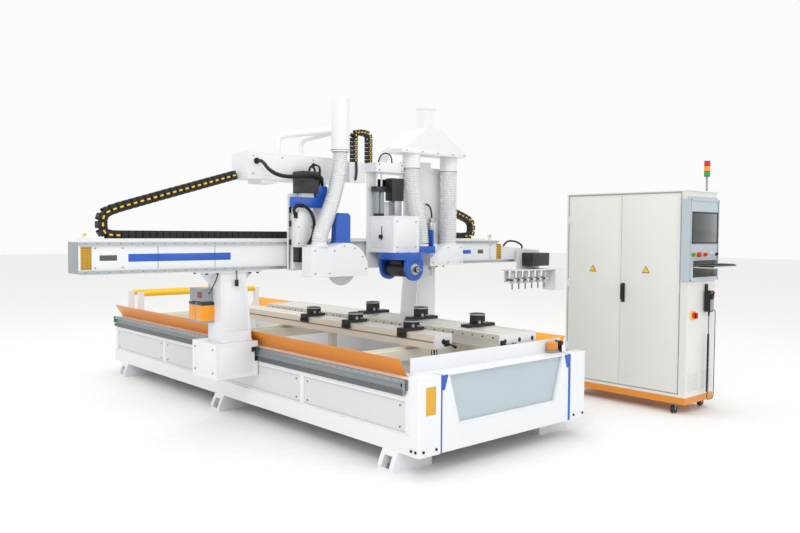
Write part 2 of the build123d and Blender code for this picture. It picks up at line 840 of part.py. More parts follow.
def saw_duct():
    """Dust duct of the saw unit with the two pipes that hold it on the cable box."""
    duct = pipe(duct_radius, duct_radius - 3, (duct_x, duct_y, duct_z[0]), (duct_x, duct_y, duct_z[1]))
    ring = pipe(duct_radius + 5, duct_radius, (duct_x, duct_y, duct_z[0]), (duct_x, duct_y, duct_z[0] + 26))
    top = cable_box_z[1]
    pipes = []
    for start_x, level, radius in ((-560.0, 2290.0, 27.0), (-330.0, 2268.0, 18.0)):
        route = FilletPolyline([Vector(start_x, -340.0, top), Vector(start_x, -340.0, level),
                                Vector(duct_x - 50, duct_y + 40, level + 60)], radius=70.0)
        section = Plane(origin=route @ 0, z_dir=route % 0) * Circle(radius)
        pipes.append(sweep(section, path=route))
    solid = duct + ring
    core = rod(duct_radius - 3, (duct_x, duct_y, duct_z[0]), (duct_x, duct_y, duct_z[1]))
    for shape in pipes:
        solid = solid + (shape - core)
    return solid


def bend_radii(points):
    """Arc radius at each corner of a route, as wide as the shorter of its two runs allows."""
    radii = []
    for before, corner, after in zip(points, points[1:], points[2:]):
        first, second = Vector(*corner) - Vector(*before), Vector(*after) - Vector(*corner)
        half_turn = math.radians(first.get_angle(second)) / 2
        radii.append(0.45 * min(first.length, second.length) / math.tan(half_turn))
    return radii


def route_of(points):
    """Path along the points with an arc at each corner."""
    return FilletPolyline([Vector(*point) for point in points], radius=bend_radii(points))


def hose(points, outer):
    """Thin flexible hose along straight runs joined by arcs."""
    route = route_of(points)
    section = Plane(origin=route @ 0, z_dir=route % 0) * (Circle(outer) - Circle(outer - hose_sheet))
    return sweep(section, path=route)


saw_hose_route = [(duct_x, duct_y, duct_z[0] - 2), (duct_x - 9, duct_y - 10, 2050.0), (-200.0, -650.0, 1850.0),
                  (-300.0, -700.0, 1680.0), (-400.0, -740.0, 1530.0), (saw_swivel_x, saw_swivel_y, 1450.0),
                  (saw_swivel_x, saw_swivel_y, 1408.0)]


def saw_hose():
    """Clear ribbed hose between the duct and the saw's chip guard."""
    return hose(saw_hose_route, hose_small_radius)


def saw_slide():
    """Lift slide of the saw: box, gearbox below it and the ring that the saw head turns in."""
    x, z = saw_slide_x, saw_slide_z
    back = plate_front - 14 - running_gap
    slide = block(x, (saw_slide_front, back), z)
    gearbox = block((x[0] + 15, x[1] - 25), (saw_slide_front, back), (1260.0, z[0]))
    ring_z = (guard_shoulder + running_gap, guard_shoulder + 13)
    ring = block((saw_swivel_x - 50, saw_swivel_x + 50), (saw_swivel_y, saw_slide_front), ring_z)
    ring = ring + rod(85.0, (saw_swivel_x, saw_swivel_y, ring_z[0]), (saw_swivel_x, saw_swivel_y, ring_z[1]))
    ring = ring - rod(spigot_radius + bearing_gap, (saw_swivel_x, saw_swivel_y, ring_z[0]), (saw_swivel_x, saw_swivel_y, ring_z[1]))
    return slide + gearbox + ring


def guard_solid(shrink):
    """Outer form of the chip guard, or its hollow when shrunk by the sheet."""
    low_y = saw_swivel_y - guard_half_width + shrink
    high_y = saw_swivel_y + guard_half_width - shrink
    chute = block((guard_left + shrink, saw_axis_x), (low_y, high_y), (guard_low, guard_shoulder - shrink))
    dome = rod(guard_round - shrink, (saw_axis_x, low_y, guard_round_z), (saw_axis_x, high_y, guard_round_z))
    clip = block((saw_axis_x - 400, saw_axis_x + 400), (low_y, high_y), (guard_low - 300, guard_low))
    return chute + dome - clip


def saw_guard():
    """Chip guard with the spigot for its hose."""
    guard = guard_solid(0) - guard_solid(guard_shell)
    spigot_top = guard_shoulder + 28
    spigot = rod(spigot_radius, (saw_swivel_x, saw_swivel_y, guard_shoulder - 2), (saw_swivel_x, saw_swivel_y, spigot_top))
    guard = guard + spigot
    guard = guard - rod(hose_small_radius - 6, (saw_swivel_x, saw_swivel_y, guard_shoulder - 12), (saw_swivel_x, saw_swivel_y, spigot_top))
    back = saw_swivel_y + guard_half_width
    return guard - rod(arbor_radius + 3, (saw_axis_x, back - 10, saw_axis_z), (saw_axis_x, back, saw_axis_z))


def saw_motor():
    """Slab housing of the saw's motor and belt, on the back of the guard."""
    back = saw_swivel_y + guard_half_width
    outline = [(-285.0, 1180.0), (-120.0, 1180.0), (-72.0, 1240.0), (-72.0, 1640.0), (-95.0, 1664.0),
               (-190.0, 1664.0), (-215.0, 1630.0), (-225.0, 1440.0), (-285.0, 1300.0)]
    slab = plate_xz(outline, (back, back + 62))
    return slab - rod(arbor_radius + bearing_gap, (saw_axis_x, back, saw_axis_z), (saw_axis_x, back + 45, saw_axis_z))


def saw_blade():
    """Saw blade, its clamp flanges and its arbor."""
    middle = saw_swivel_y
    half = saw_blade_sheet / 2
    disc = rod(saw_blade_radius, (saw_axis_x, middle - half, saw_axis_z), (saw_axis_x, middle + half, saw_axis_z))
    flanges = rod(45.0, (saw_axis_x, middle - 12, saw_axis_z), (saw_axis_x, middle + 12, saw_axis_z))
    arbor_end = saw_swivel_y + guard_half_width + 40
    arbor = rod(arbor_radius, (saw_axis_x, middle - 24, saw_axis_z), (saw_axis_x, arbor_end, saw_axis_z))
    return disc + flanges + arbor


# ---- Milling and spindle unit ----


def spindle_carriage():
    """Saddle of the milling and spindle unit with its head frame, lift rails and cylinder rods."""
    x = spindle_plate_x
    saddle = block(x, (plate_front, plate_back), spindle_plate_z)
    saddle = saddle + head_bearings((x[0] + 60, (x[0] + x[1]) / 2, x[1] - 60))
    saddle = saddle + block((x[0], x[0] + 90), (plate_front, plate_back), (spindle_plate_z[1], 2030.0))
    saddle = saddle + block((680.0, x[1] - 95), (plate_front, plate_back), (spindle_plate_z[1], 2030.0))
    saddle = saddle + block((235.0, x[1] - 95), (plate_front + 6, -400.0), (2030.0, 2108.0))
    saddle = saddle + block((235.0, 545.0), (-650.0, plate_front + 6), (2030.0, 2108.0))
    saddle = saddle + block((60.0, 235.0), (-500.0, -440.0), (1935.0, 2108.0))
    saddle = saddle + block((850.0, 1120.0), (-400.0, -250.0), (1990.0, 2170.0))
    saddle = saddle + block((1000.0, 1060.0), (-400.0, -270.0), (1880.0, 1990.0))
    for cylinder in cylinder_x:
        saddle = saddle + rod(8.0, (cylinder, cylinder_y, 1678.0), (cylinder, cylinder_y, 2030.0))
        saddle = saddle + rod(19.5, (cylinder, cylinder_y, 1663.0), (cylinder, cylinder_y, 1678.0))
    return saddle


def hood_outline(shrink):
    """Outline of the bell-shaped hood, drawn in from its edge by the given amount."""
    low, high = hood_left + shrink, hood_right - shrink
    duct_low, duct_high = hood_duct_x[0] - 20 + shrink, hood_duct_x[1] + 20 - shrink
    base = collar_z[1] + shrink
    rim = collar_z[1] + hood_rim_height - shrink
    shoulder = collar_z[1] + hood_shoulder_height - shrink
    return [(low, base), (high, base), (high, rim), (high - 95, shoulder), (duct_high + 80, hood_top - 62 - shrink),
            (duct_high, hood_top - shrink), (duct_low, hood_top - shrink), (duct_low - 80, hood_top - 62 - shrink),
            (low + 95, shoulder), (low, rim)]


def dust_hood():
    """Bell hood with its duct, two hose collars and the arm that holds it."""
    sheet = box_sheet
    hood = plate_xz(hood_outline(0), hood_y)
    hood = hood - plate_xz(hood_outline(sheet), (hood_y[0] + sheet, hood_y[1] - sheet))
    duct = block(hood_duct_x, hood_duct_y, (hood_top - 1, hood_duct_top))
    hood = hood + duct
    hood = hood - block((hood_duct_x[0] + sheet, hood_duct_x[1] - sheet), (hood_duct_y[0] + sheet, hood_duct_y[1] - sheet),
                        (hood_top - 10, hood_duct_top))
    for x, y in (collar_1, collar_2):
        hood = hood + rod(collar_radius, (x, y, collar_z[0]), (x, y, collar_z[1] + sheet))
        hood = hood - rod(collar_radius - 3, (x, y, collar_z[0]), (x, y, collar_z[1] + sheet))
    arm = plate_xz([(330.0, 2108.0), (420.0, 2108.0), (470.0, 2207.0), (470.0, 2290.0), (395.0, 2230.0)], (-560.0, -535.0))
    return hood + arm


def milling_hose():
    """Clear hose between the hood and the milling head."""
    x, y = collar_1
    end_x, end_y = 700.0, -702.0
    points = [(x, y, collar_z[0] - 1), (x + 4, y - 6, 1900.0), (end_x - 8, end_y + 5, 1560.0), (end_x, end_y, 1410.0)]
    return hose(points, hose_large_radius)


def spindle_hose():
    """Clear hose between the hood and the spindle's dust cover."""
    x, y = collar_2
    outer = hose_large_radius
    return pipe(outer, outer - hose_sheet, (x, y, spindle_cover_z[1] + 14), (x, y, collar_z[0] - 1))


def milling_cover():
    """Cover of the milling head's lift slide, open at its back, with the lift motor's bracket plate."""
    x, y, z = yoke_cover_x, yoke_cover_y, yoke_cover_z
    cover = block(x, y, z)
    hollow = block((x[0] + 4, x[1] - 4), (y[0] + 4, y[1]), (z[0], z[1] - 10))
    cover = cover - hollow
    plate = block((390.0, 600.0), (-560.0, -552.0), (z[1], 1775.0))
    return cover + plate + block(x, (y[1] - 8, y[1]), z)


def milling_lift_motor():
    """Lift motor of the milling head."""
    motor = block((415.0, 548.0), (-650.0, -560.0), (1785.0, 1980.0))
    return motor + block((455.0, 535.0), (-640.0, -560.0), (1648.0, 1785.0))


def lift_cylinders():
    """Two pneumatic cylinders that balance the milling head, joined by their head block."""
    low = yoke_cover_z[1]
    inner = cylinder_radius - 4
    solid = block((cylinder_x[0] - 32, cylinder_x[1] + 32), (cylinder_y - 32, cylinder_y + 32), (cylinder_top - 24, cylinder_top))
    for x in cylinder_x:
        solid = solid + rod(cylinder_radius, (x, cylinder_y, low), (x, cylinder_y, cylinder_top - 24))
    for x in cylinder_x:
        solid = solid - rod(inner, (x, cylinder_y, low + 12), (x, cylinder_y, cylinder_top - 24))
        solid = solid - rod(8.3, (x, cylinder_y, cylinder_top - 24), (x, cylinder_y, cylinder_top))
    return solid


def turntable():
    """Fixed disc that the yoke swivels under, with the hose adaptor on its right side."""
    z = yoke_turntable_z
    disc = rod(yoke_turntable_radius, (yoke_x, yoke_y, z[0]), (yoke_x, yoke_y, z[1]))
    adaptor = block((600.0, 808.0), (-790.0, -614.0), (z[1] - 10, z[1] + 50))
    spigot = rod(collar_radius, (700.0, -702.0, z[1] + 50), (700.0, -702.0, z[1] + 72))
    upright = block((794.0, 808.0), (-770.0, -640.0), (z[1] + 50, 1530.0))
    return disc + adaptor + spigot + upright


def cheek(y):
    """One cheek of the yoke: a plate with a round lower end."""
    half = yoke_cheek_half_width
    plate = block((yoke_x - half, yoke_x + half), y, (yoke_spindle_z, yoke_turntable_z[0] - 22))
    return plate + rod(half, (yoke_x, y[0], yoke_spindle_z), (yoke_x, y[1], yoke_spindle_z))


def yoke():
    """Swivelling yoke: round head plate with two cheeks, the front one bored for the spindle."""
    top = yoke_turntable_z[0] - running_gap
    head = rod(yoke_turntable_radius - 3, (yoke_x, yoke_y, top - 22), (yoke_x, yoke_y, top))
    reach, sheet = yoke_cheek_reach, yoke_cheek_sheet
    front = cheek((yoke_y - reach, yoke_y - reach + sheet))
    front = front - rod(yoke_bore, (yoke_x, yoke_y - reach, yoke_spindle_z), (yoke_x, yoke_y - reach + sheet, yoke_spindle_z))
    rear = cheek((yoke_y + reach - sheet, yoke_y + reach))
    return head + front + rear


def mill_motor():
    """Spindle motor between the yoke's cheeks."""
    reach = yoke_cheek_reach - yoke_cheek_sheet
    body = rod(mill_motor_radius, (yoke_x, yoke_y - reach, yoke_spindle_z), (yoke_x, yoke_y + reach, yoke_spindle_z))
    return body - rod(mill_nose_radius + bearing_gap, (yoke_x, yoke_y - reach, yoke_spindle_z), (yoke_x, yoke_y - reach + 60, yoke_spindle_z))


def mill_spindle():
    """Spindle nose with its cutter."""
    inside = yoke_y - yoke_cheek_reach + yoke_cheek_sheet + 55
    nose = rod(mill_nose_radius, (yoke_x, -mill_nose_reach + 10, yoke_spindle_z), (yoke_x, inside, yoke_spindle_z))
    return nose + rod(8.0, (yoke_x, -mill_nose_reach - 25, yoke_spindle_z), (yoke_x, -mill_nose_reach + 10, yoke_spindle_z))


def spindle_cover():
    """Dust cover of the tool-change spindle with its slide plate and hose spigot."""
    x, y, z = spindle_cover_x, spindle_cover_y, spindle_cover_z
    outer = [(x[0], z[0]), (x[1], z[0]), (x[1], z[1]), (x[0] + 190, z[1]), (x[0], z[0] + 70)]
    inner = [(x[0] + 4, z[0]), (x[1] - 4, z[0]), (x[1] - 4, z[1] - 4), (x[0] + 192, z[1] - 4), (x[0] + 4, z[0] + 68)]
    cover = plate_xz(outer, y) - plate_xz(inner, (y[0] + 4, y[1] - 8))
    cx, cy = collar_2
    cover = cover + rod(collar_radius, (cx, cy, z[1]), (cx, cy, z[1] + 12))
    cover = cover - rod(collar_radius - 3, (cx, cy, z[1] - 8), (cx, cy, z[1] + 12))
    plate = block((x[0], x[0] + 190), (y[1] - 8, y[1]), (z[0] + 70, 1620.0))
    passage = rod(spindle_radius + 0.3, (spindle_x, spindle_y, z[0] + 10), (spindle_x, spindle_y, z[1] + 10))
    return cover + plate - passage


def spindle_body():
    """Motor spindle, clamped on the slide plate."""
    low = spindle_cover_z[0] + 4
    cx, cy = spindle_x, spindle_y
    body = rod(spindle_radius, (cx, cy, low), (cx, cy, 1600.0))
    clamp = block((cx - 40, cx + 40), (cy, spindle_cover_y[1] - 8), (1440.0, 1580.0))
    body = body + clamp
    return body - rod(20.0 + bearing_gap, (cx, cy, low), (cx, cy, low + 60))


def spindle_tool():
    """Tool holder and cutter of the tool-change spindle."""
    cx, cy = spindle_x, spindle_y
    low = spindle_cover_z[0] + 4
    taper = rod(20.0, (cx, cy, low - 12), (cx, cy, low + 55))
    nut = rod(30.0, (cx, cy, low - 42), (cx, cy, low - 12))
    return taper + nut + rod(8.0, (cx, cy, low - 100), (cx, cy, low - 42))


# ---- Tool magazine ----


def tool_magazine():
    """Sliding magazine: shelf with fork grippers, slide unit with its cylinder, and end cover."""
    x, y = magazine_x, magazine_y
    shelf = block(x, y, (magazine_shelf - 10, magazine_shelf))
    back = block(magazine_back_x, (plate_back - 12, plate_back), (magazine_shelf - 10, 1330.0))
    for bearing_x in (magazine_back_x[0] + 45, magazine_back_x[1] - 45):
        back = back + head_bearing(bearing_x, head_rail_levels[0])
    drive = block((x[0] + 330, x[0] + 600), (-660.0, y[1]), (1165.0, 1300.0))
    end_cover = block((x[1] - 150, x[1]), y, (900.0, magazine_shelf - 10))
    end_cover = end_cover - block((x[1] - 147, x[1] - 3), (y[0] + 3, y[1] - 3), (900.0, magazine_shelf - 10))
    solid = shelf + back + drive + end_cover
    for index in range(tool_holder_count):
        cx = x[0] + 60 + index * tool_holder_pitch
        strap = block((cx - 30, cx + 30), (y[1] - 24, y[1] - 12), (1000.0, magazine_shelf - 10))
        gripper = block((cx - 44, cx + 44), (-650.0, y[1] - 24), (1020.0, 1036.0))
        solid = solid + strap + (gripper - rod(23.0, (cx, -610.0, 1020.0), (cx, -610.0, 1036.0)))
    return solid


def tool_holders():
    """Spare tool holders hanging in the grippers."""
    holders = []
    for index in range(tool_holder_count):
        cx = magazine_x[0] + 60 + index * tool_holder_pitch
        flange = rod(tool_holder_radius, (cx, -610.0, 1036.0), (cx, -610.0, 1050.0))
        taper = rod(20.0, (cx, -610.0, 1050.0), (cx, -610.0, 1104.0))
        neck = rod(22.9, (cx, -610.0, 1020.0), (cx, -610.0, 1036.0))
        nut = rod(30.0, (cx, -610.0, 990.0), (cx, -610.0, 1020.0))
        cutter = rod(7.0, (cx, -610.0, 930.0), (cx, -610.0, 990.0))
        holders.append(flange + taper + neck + nut + cutter)
    return holders


# ---- Electrical cabinet ----
console_front = cabinet_y[0] - console_proud


def cabinet_shell():
    """Sheet housing with its door opening, louvres, tray opening and a plate for the electrical gear."""
    x, y, z = cabinet_x, cabinet_y, cabinet_z
    sheet = cabinet_sheet
    shell = block(x, y, z) - block((x[0] + cabinet_frame, x[1] - sheet), (y[0] + sheet, y[1] - sheet),
                                   (z[0] + sheet, z[1] - sheet))
    opening_y = (door_y[0] - door_gap, door_y[1] + door_gap)
    opening_z = (door_z[0] - door_gap, door_z[1] + door_gap)
    shell = shell - block((x[0], x[0] + cabinet_frame), opening_y, opening_z)
    shell = shell - block(pocket_x, (y[0], y[0] + sheet), pocket_z)
    gear_plate = block((x[1] - 60, x[1] - sheet), (y[0] + 200, y[1] - 80), (z[0] + 200, z[1] - 200))
    for low_x in (2027.0, 2250.0):
        for index in range(6):
            level = 200.0 + index * 28
            shell = shell - block((low_x, low_x + 170), (y[0], y[0] + sheet), (level, level + 9))
    return shell + gear_plate


def switch_plate():
    """Escutcheon under the rotary isolator."""
    y = cabinet_y[0]
    return block((2045.0, 2115.0), (y - 10, y), (switch_level - 35, switch_level + 35))


def cabinet_plinth():
    """Painted plinth of the cabinet."""
    x, y = cabinet_x, cabinet_y
    outer = block(x, y, (plinth_low, cabinet_z[0]))
    return outer - block((x[0] + 30, x[1] - 30), (y[0] + 30, y[1] - 30), (plinth_low, cabinet_z[0] - 4))


def cabinet_casters():
    """Four fixed casters under the plinth."""
    casters = []
    half = caster_width / 2
    for x in (cabinet_x[0] + 14, cabinet_x[1] - 14):
        for y in (cabinet_y[0] + 103, cabinet_y[1] - 103):
            wheel = rod(caster_radius, (x, y - half, caster_radius), (x, y + half, caster_radius))
            fork = block((x - 12, x + 12), (y - half, y + half), (caster_radius, plinth_low))
            casters.append(wheel + fork)
    return casters


def control_console():
    """Console round the cabinet's corner with its rim, tray opening and bores for the push buttons."""
    x, z = console_x, console_z
    console = block(x, (console_front, cabinet_y[0]), z)
    console = console + block((x[0], cabinet_x[0]), (cabinet_y[0], console_strip_back), z)
    face = block((x[0] + console_rim, x[1] - console_rim), (console_front, console_front + console_recess),
                 (pocket_z[1] + 6, z[1] - console_rim))
    console = console - face - block(pocket_x, (console_front, cabinet_y[0]), pocket_z)
    for bx in button_x:
        console = console - rod(button_radius + bearing_gap, (bx, console_front, button_level),
                                (bx, cabinet_y[0] - 2, button_level))
    for sx in selector_x:
        knob = rod(13.0, (sx, console_front - 12, button_level), (sx, console_front + console_recess, button_level))
        console = console + knob
    return console


def console_screen():
    """Monitor in the recess of the console."""
    return block((1994.0, 2430.0), (console_front + 2, console_front + console_recess), (1434.0, 1691.0))


def push_button(x, cap):
    """Push button: stem in the console's bore, and its head standing off by more than its travel."""
    face = console_front + console_recess
    stem = rod(button_radius, (x, face - 4, button_level), (x, cabinet_y[0] - 4 - button_travel, button_level))
    head = rod(cap, (x, face - 26, button_level), (x, face - 1 - button_travel, button_level))
    neck = rod(button_radius - 2, (x, face - 20, button_level), (x, face, button_level))
    return stem + head + neck


def main_switch():
    """Rotary isolator knob on the cabinet's end wall."""
    y = cabinet_y[0]
    knob = rod(26.0, (2080.0, y - 34, switch_level), (2080.0, y - 10.4, switch_level))
    return knob + block((2072.0, 2088.0), (y - 46, y - 34), (switch_level - 24, switch_level + 24))


def stack_light():
    """Signal tower: foot, pole and the barrel of three lamps."""
    x, y = 2418.0, -2500.0
    top = cabinet_z[1]
    pole = rod(9.0, (x, y, top), (x, y, top + 140))
    foot_disc = rod(26.0, (x, y, top), (x, y, top + 8))
    return pole + foot_disc + rod(25.0, (x, y, top + 140), (x, y, top + 273))


def keyboard_tray():
    """Tray that slides into the console, with the keyboard on it."""
    x = (pocket_x[0] + 8, pocket_x[1] - 8)
    y = (console_front - tray_reach, cabinet_y[0] - 4)
    tray = block(x, y, (tray_level, tray_level + 5))
    keys = block((x[0] + 10, x[1] - 10), (y[0] + 8, y[0] + 140), (tray_level + 5, tray_level + 24))
    return tray + keys


def cabinet_door(y, hinge_side):
    """One sheet door, folded at its edges, with three hinge barrels on its outer edge."""
    x = (cabinet_x[0], cabinet_x[0] + door_sheet)
    door = block(x, y, door_z)
    door -= block((x[0] + 2, x[1]), (y[0] + 2, y[1] - 2), (door_z[0] + 2, door_z[1] - 2))
    edge = y[0] if hinge_side < 0 else y[1]
    axis_y = edge + hinge_side * hinge_axis[1]
    leaf_y = sorted((axis_y, edge - hinge_side * 22))
    for level in hinge_levels:
        barrel = Pos(hinge_axis[0], axis_y, level + hinge_length / 2) * Cylinder(hinge_pin_r, hinge_length)
        door += barrel
        door += block((hinge_axis[0] + 2, x[0] + 1), leaf_y, (level, level + hinge_length))
    return door


def door_handle():
    """Swing handle on the front door."""
    y = -door_seam - 26
    face = cabinet_x[0]
    hub = rod(12.0, (face - 14, y, handle_level + 48), (face - 0.3, y, handle_level + 48))
    return hub + block((face - 26, face - 10), (y - 13, y + 13), (handle_level - 70, handle_level + 62))


# ---- Pendant ----
cord_y = cabinet_y[0] - 37
curl_x = 2290.0
loop_x = 2405.0


def pendant():
    """Hand pendant on its hook, with its hand wheel and stop button."""
    y = cabinet_y[0]
    body = block((2258.0, 2322.0), (y - 62, y - 12), (852.0, 1031.0))
    hook = block((2280.0, 2300.0), (y - 22, y), (990.0, 1085.0))
    wheel = rod(22.0, (2284.0, y - 74, 985.0), (2284.0, y - 62, 985.0))
    stop = rod(9.0, (2312.0, y - 74, 1012.0), (2312.0, y - 62, 1012.0))
    return body + hook + wheel + stop


def pendant_curl():
    """Curly stretch of the pendant's cord, as one fat round bar of its outer diameter."""
    return rod(curl_radius, (curl_x, cord_y, curl_z[0]), (curl_x, cord_y, curl_z[1]))


def cord(points):
    """Plain round cord along straight runs joined by arcs."""
    route = route_of(points)
    section = Plane(origin=route @ 0, z_dir=route % 0) * Circle(cord_radius)
    return sweep(section, path=route)


def pendant_lead():
    """Straight stretches of the pendant's cord: above the curl, and from it in a loop to the gland."""
    upper = rod(cord_radius, (curl_x, cord_y, curl_z[1]), (curl_x, cord_y, 852.0))
    lower = cord([(curl_x, cord_y, curl_z[0]), (curl_x, cord_y, 95.0), (loop_x, cord_y, 95.0),
                  (loop_x, cord_y, 860.0), (loop_x, cabinet_y[0], 860.0)])
    return [upper, lower]


os.makedirs("parts", exist_ok=True)

save("bed_frame", bed_frame(), *leveling_screws())
save("corner_posts", *both_sides(corner_post()))
save("front_fascia", front_fascia())
save("fascia_panel", fascia_panel())
save("side_panels", *side_panels())
save("bed_rails", *bed_rails())
save("sheet_guards", *sheet_guards())
save("cross_supports", *[cross_support(y) for y in support_ys])
save("roller_front", roller(roller_ys[0]))
save("roller_rear", roller(roller_ys[1]))
save("work_beam_a", work_beam_a())
save("work_beam_b", work_beam_b())
for number, y in enumerate(pod_a_ys):
    save(f"pod_{number + 1}", pod_a(y))
for number, y in enumerate(pod_b_ys):
    save(f"pod_{number + 4}", pod_b(y))

save("gantry_columns", *gantry_columns(), *gantry_bearings())
save("foot_housings", *both_sides(foot_housing()))
save("gantry_beam", gantry_beam())
save("beam_rails", *beam_rails())
save("lubricator", lubricator())
save("left_chain", left_chain())
save("right_chain", right_chain())

save("saw_carriage", saw_carriage(), *saw_lift_motor())
save("saw_cable_box", saw_cable_box())
save("saw_duct", saw_duct())
save("saw_hose", saw_hose())
save("saw_slide", saw_slide())
save("saw_guard", saw_guard())
save("saw_motor", saw_motor())
save("saw_blade", saw_blade())

save("spindle_carriage", spindle_carriage())
save("dust_hood", dust_hood())
save("z_chain", z_chain())
save("milling_hose", milling_hose())
save("spindle_hose", spindle_hose())
save("milling_cover", milling_cover(), turntable())
save("lift_cylinders", lift_cylinders(), milling_lift_motor())
save("yoke", yoke(), mill_motor())
save("mill_spindle", mill_spindle())
save("spindle_cover", spindle_cover(), spindle_body())
save("spindle_tool", spindle_tool())
save("tool_magazine", tool_magazine(), *tool_holders())

save("cabinet_shell", cabinet_shell(), switch_plate())
save("cabinet_plinth", cabinet_plinth(), *cabinet_casters())
save("control_console", control_console(), console_screen())
save("stack_light", stack_light())
save("cabinet_door_front", cabinet_door((door_y[0], -door_seam - door_gap), -1))
save("cabinet_door_rear", cabinet_door((-door_seam + door_gap, door_y[1]), 1))
save("door_handle", door_handle())
save("keyboard_tray", keyboard_tray())
save("start_button", push_button(button_x[0], 14.0))
save("e_stop_button", push_button(button_x[1], 20.0))
save("stop_button", push_button(button_x[2], 14.0))
save("main_switch", main_switch())
save("pendant", pendant())
save("pendant_curl", pendant_curl())
save("pendant_lead", *pendant_lead())
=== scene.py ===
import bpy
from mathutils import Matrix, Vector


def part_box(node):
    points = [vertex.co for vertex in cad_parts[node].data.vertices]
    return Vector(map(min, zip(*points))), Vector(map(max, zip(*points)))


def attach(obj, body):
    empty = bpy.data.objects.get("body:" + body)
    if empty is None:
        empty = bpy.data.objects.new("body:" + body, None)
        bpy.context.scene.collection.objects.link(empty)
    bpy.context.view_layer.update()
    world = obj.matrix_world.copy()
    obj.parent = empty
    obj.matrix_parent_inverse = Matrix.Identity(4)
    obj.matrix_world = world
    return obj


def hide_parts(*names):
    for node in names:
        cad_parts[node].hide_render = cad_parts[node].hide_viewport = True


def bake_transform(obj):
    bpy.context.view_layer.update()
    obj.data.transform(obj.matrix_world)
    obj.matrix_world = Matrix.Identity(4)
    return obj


bl_info = {
    "name": "Gantry router looks",
    "version": (1, 0, 0),
    "blender": (4, 5, 0),
    "location": "View3D > Sidebar > Router",
    "description": "Builds the finishes and small parts of a gantry CNC router on its CAD frame",
    "category": "Object",
}

import math

import bpy
from mathutils import Matrix, Vector

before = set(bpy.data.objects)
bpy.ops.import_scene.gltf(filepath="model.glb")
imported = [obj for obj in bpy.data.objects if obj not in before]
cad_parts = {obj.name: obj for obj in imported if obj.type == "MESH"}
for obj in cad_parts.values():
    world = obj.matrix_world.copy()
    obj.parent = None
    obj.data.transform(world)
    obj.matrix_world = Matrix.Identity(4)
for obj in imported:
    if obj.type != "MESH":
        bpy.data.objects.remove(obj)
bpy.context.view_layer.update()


# ---- Colours and settings ----


def linear(hex_colour):
    """An sRGB hex colour as linear red, green and blue."""
    values = [int(hex_colour[i : i + 2], 16) / 255 for i in (1, 3, 5)]
    return [v / 12.92 if v <= 0.04045 else ((v + 0.055) / 1.055) ** 2.4 for v in values]


def colour_property(label, hex_colour):
    """A colour that the user can change, given by its sRGB hex value."""
    return bpy.props.FloatVectorProperty(
        name=label,
        description=f"Colour of the {label.lower()}",
        subtype="COLOR",
        size=3,
        min=0,
        max=1,
        default=linear(hex_colour),
    )


class RouterColours(bpy.types.PropertyGroup):
    body: colour_property("White machine paint", "#E6E8EB")
    cabinet: colour_property("Cabinet paint", "#DEDFDA")
    panel: colour_property("Blue-grey panels", "#B4C0C8")
    blue: colour_property("Blue paint", "#1656B8")
    orange: colour_property("Orange guards", "#E08A1E")
    ochre: colour_property("Ochre hatches", "#D9A521")
    cream: colour_property("Cream supports", "#E4DFCF")


class RouterSizes(bpy.types.PropertyGroup):
    rib_pitch: bpy.props.FloatProperty(
        name="Hose rib pitch", description="Distance between the ribs of a clear hose", default=0.016,
        min=0.008, max=0.05, unit="LENGTH")
    link_pitch: bpy.props.FloatProperty(
        name="Chain link pitch", description="Length of one drag chain link", default=0.052,
        min=0.03, max=0.12, unit="LENGTH")
    bolt_radius: bpy.props.FloatProperty(
        name="Bolt head radius", description="Radius of the cover screws", default=0.009,
        min=0.004, max=0.02, unit="LENGTH")
    edge: bpy.props.FloatProperty(
        name="Sheet edge radius", description="Rounding of folded sheet edges", default=0.004,
        min=0.0005, max=0.02, unit="LENGTH")


def colours():
    return bpy.context.scene.router_colours


def sizes():
    return bpy.context.scene.router_sizes


# ---- Materials ----


def add_node(tree, kind, settings=None, values=None, links=None):
    """Adds one node with its settings, its socket values and its incoming links."""
    node = tree.nodes.new(kind)
    for key, value in (settings or {}).items():
        setattr(node, key, value)
    for key, value in (values or {}).items():
        node.inputs[key].default_value = value
    for key, socket in (links or {}).items():
        tree.links.new(socket, node.inputs[key])
    return node


def start_material(name, shader_values):
    """An empty material with its shader, its output and the piece's own coordinates."""
    material = bpy.data.materials.new(name)
    material.use_nodes = True
    tree = material.node_tree
    tree.nodes.clear()
    shader = add_node(tree, "ShaderNodeBsdfPrincipled", values=shader_values)
    add_node(tree, "ShaderNodeOutputMaterial", links={"Surface": shader.outputs["BSDF"]})
    coordinates = add_node(tree, "ShaderNodeTexCoord").outputs["Object"]
    return material, tree, shader, coordinates


def rgba(colour, shade=1.0):
    return [min(1.0, channel * shade) for channel in colour[:3]] + [1.0]


def mottled(tree, shader, coordinates, colour, spread, scale):
    """Colour that wanders a little from place to place, as a sprayed or worn surface does."""
    noise = add_node(tree, "ShaderNodeTexNoise", values={"Scale": scale, "Detail": 4.0, "Roughness": 0.6},
                     links={"Vector": coordinates})
    mix = add_node(tree, "ShaderNodeMix", {"data_type": "RGBA"},
                   {6: rgba(colour, 1 - spread), 7: rgba(colour, 1 + spread)}, {0: noise.outputs["Fac"]})
    tree.links.new(mix.outputs[2], shader.inputs["Base Color"])
    return noise


def rough_between(tree, shader, source, low, high):
    """Roughness that follows a pattern between two values."""
    spread = add_node(tree, "ShaderNodeMapRange", values={"To Min": low, "To Max": high}, links={"Value": source})
    tree.links.new(spread.outputs["Result"], shader.inputs["Roughness"])


def bumped(tree, shader, height, distance, strength):
    """Small relief from a pattern, its depth in metres."""
    bump = add_node(tree, "ShaderNodeBump", values={"Distance": distance, "Strength": strength},
                    links={"Height": height})
    tree.links.new(bump.outputs["Normal"], shader.inputs["Normal"])


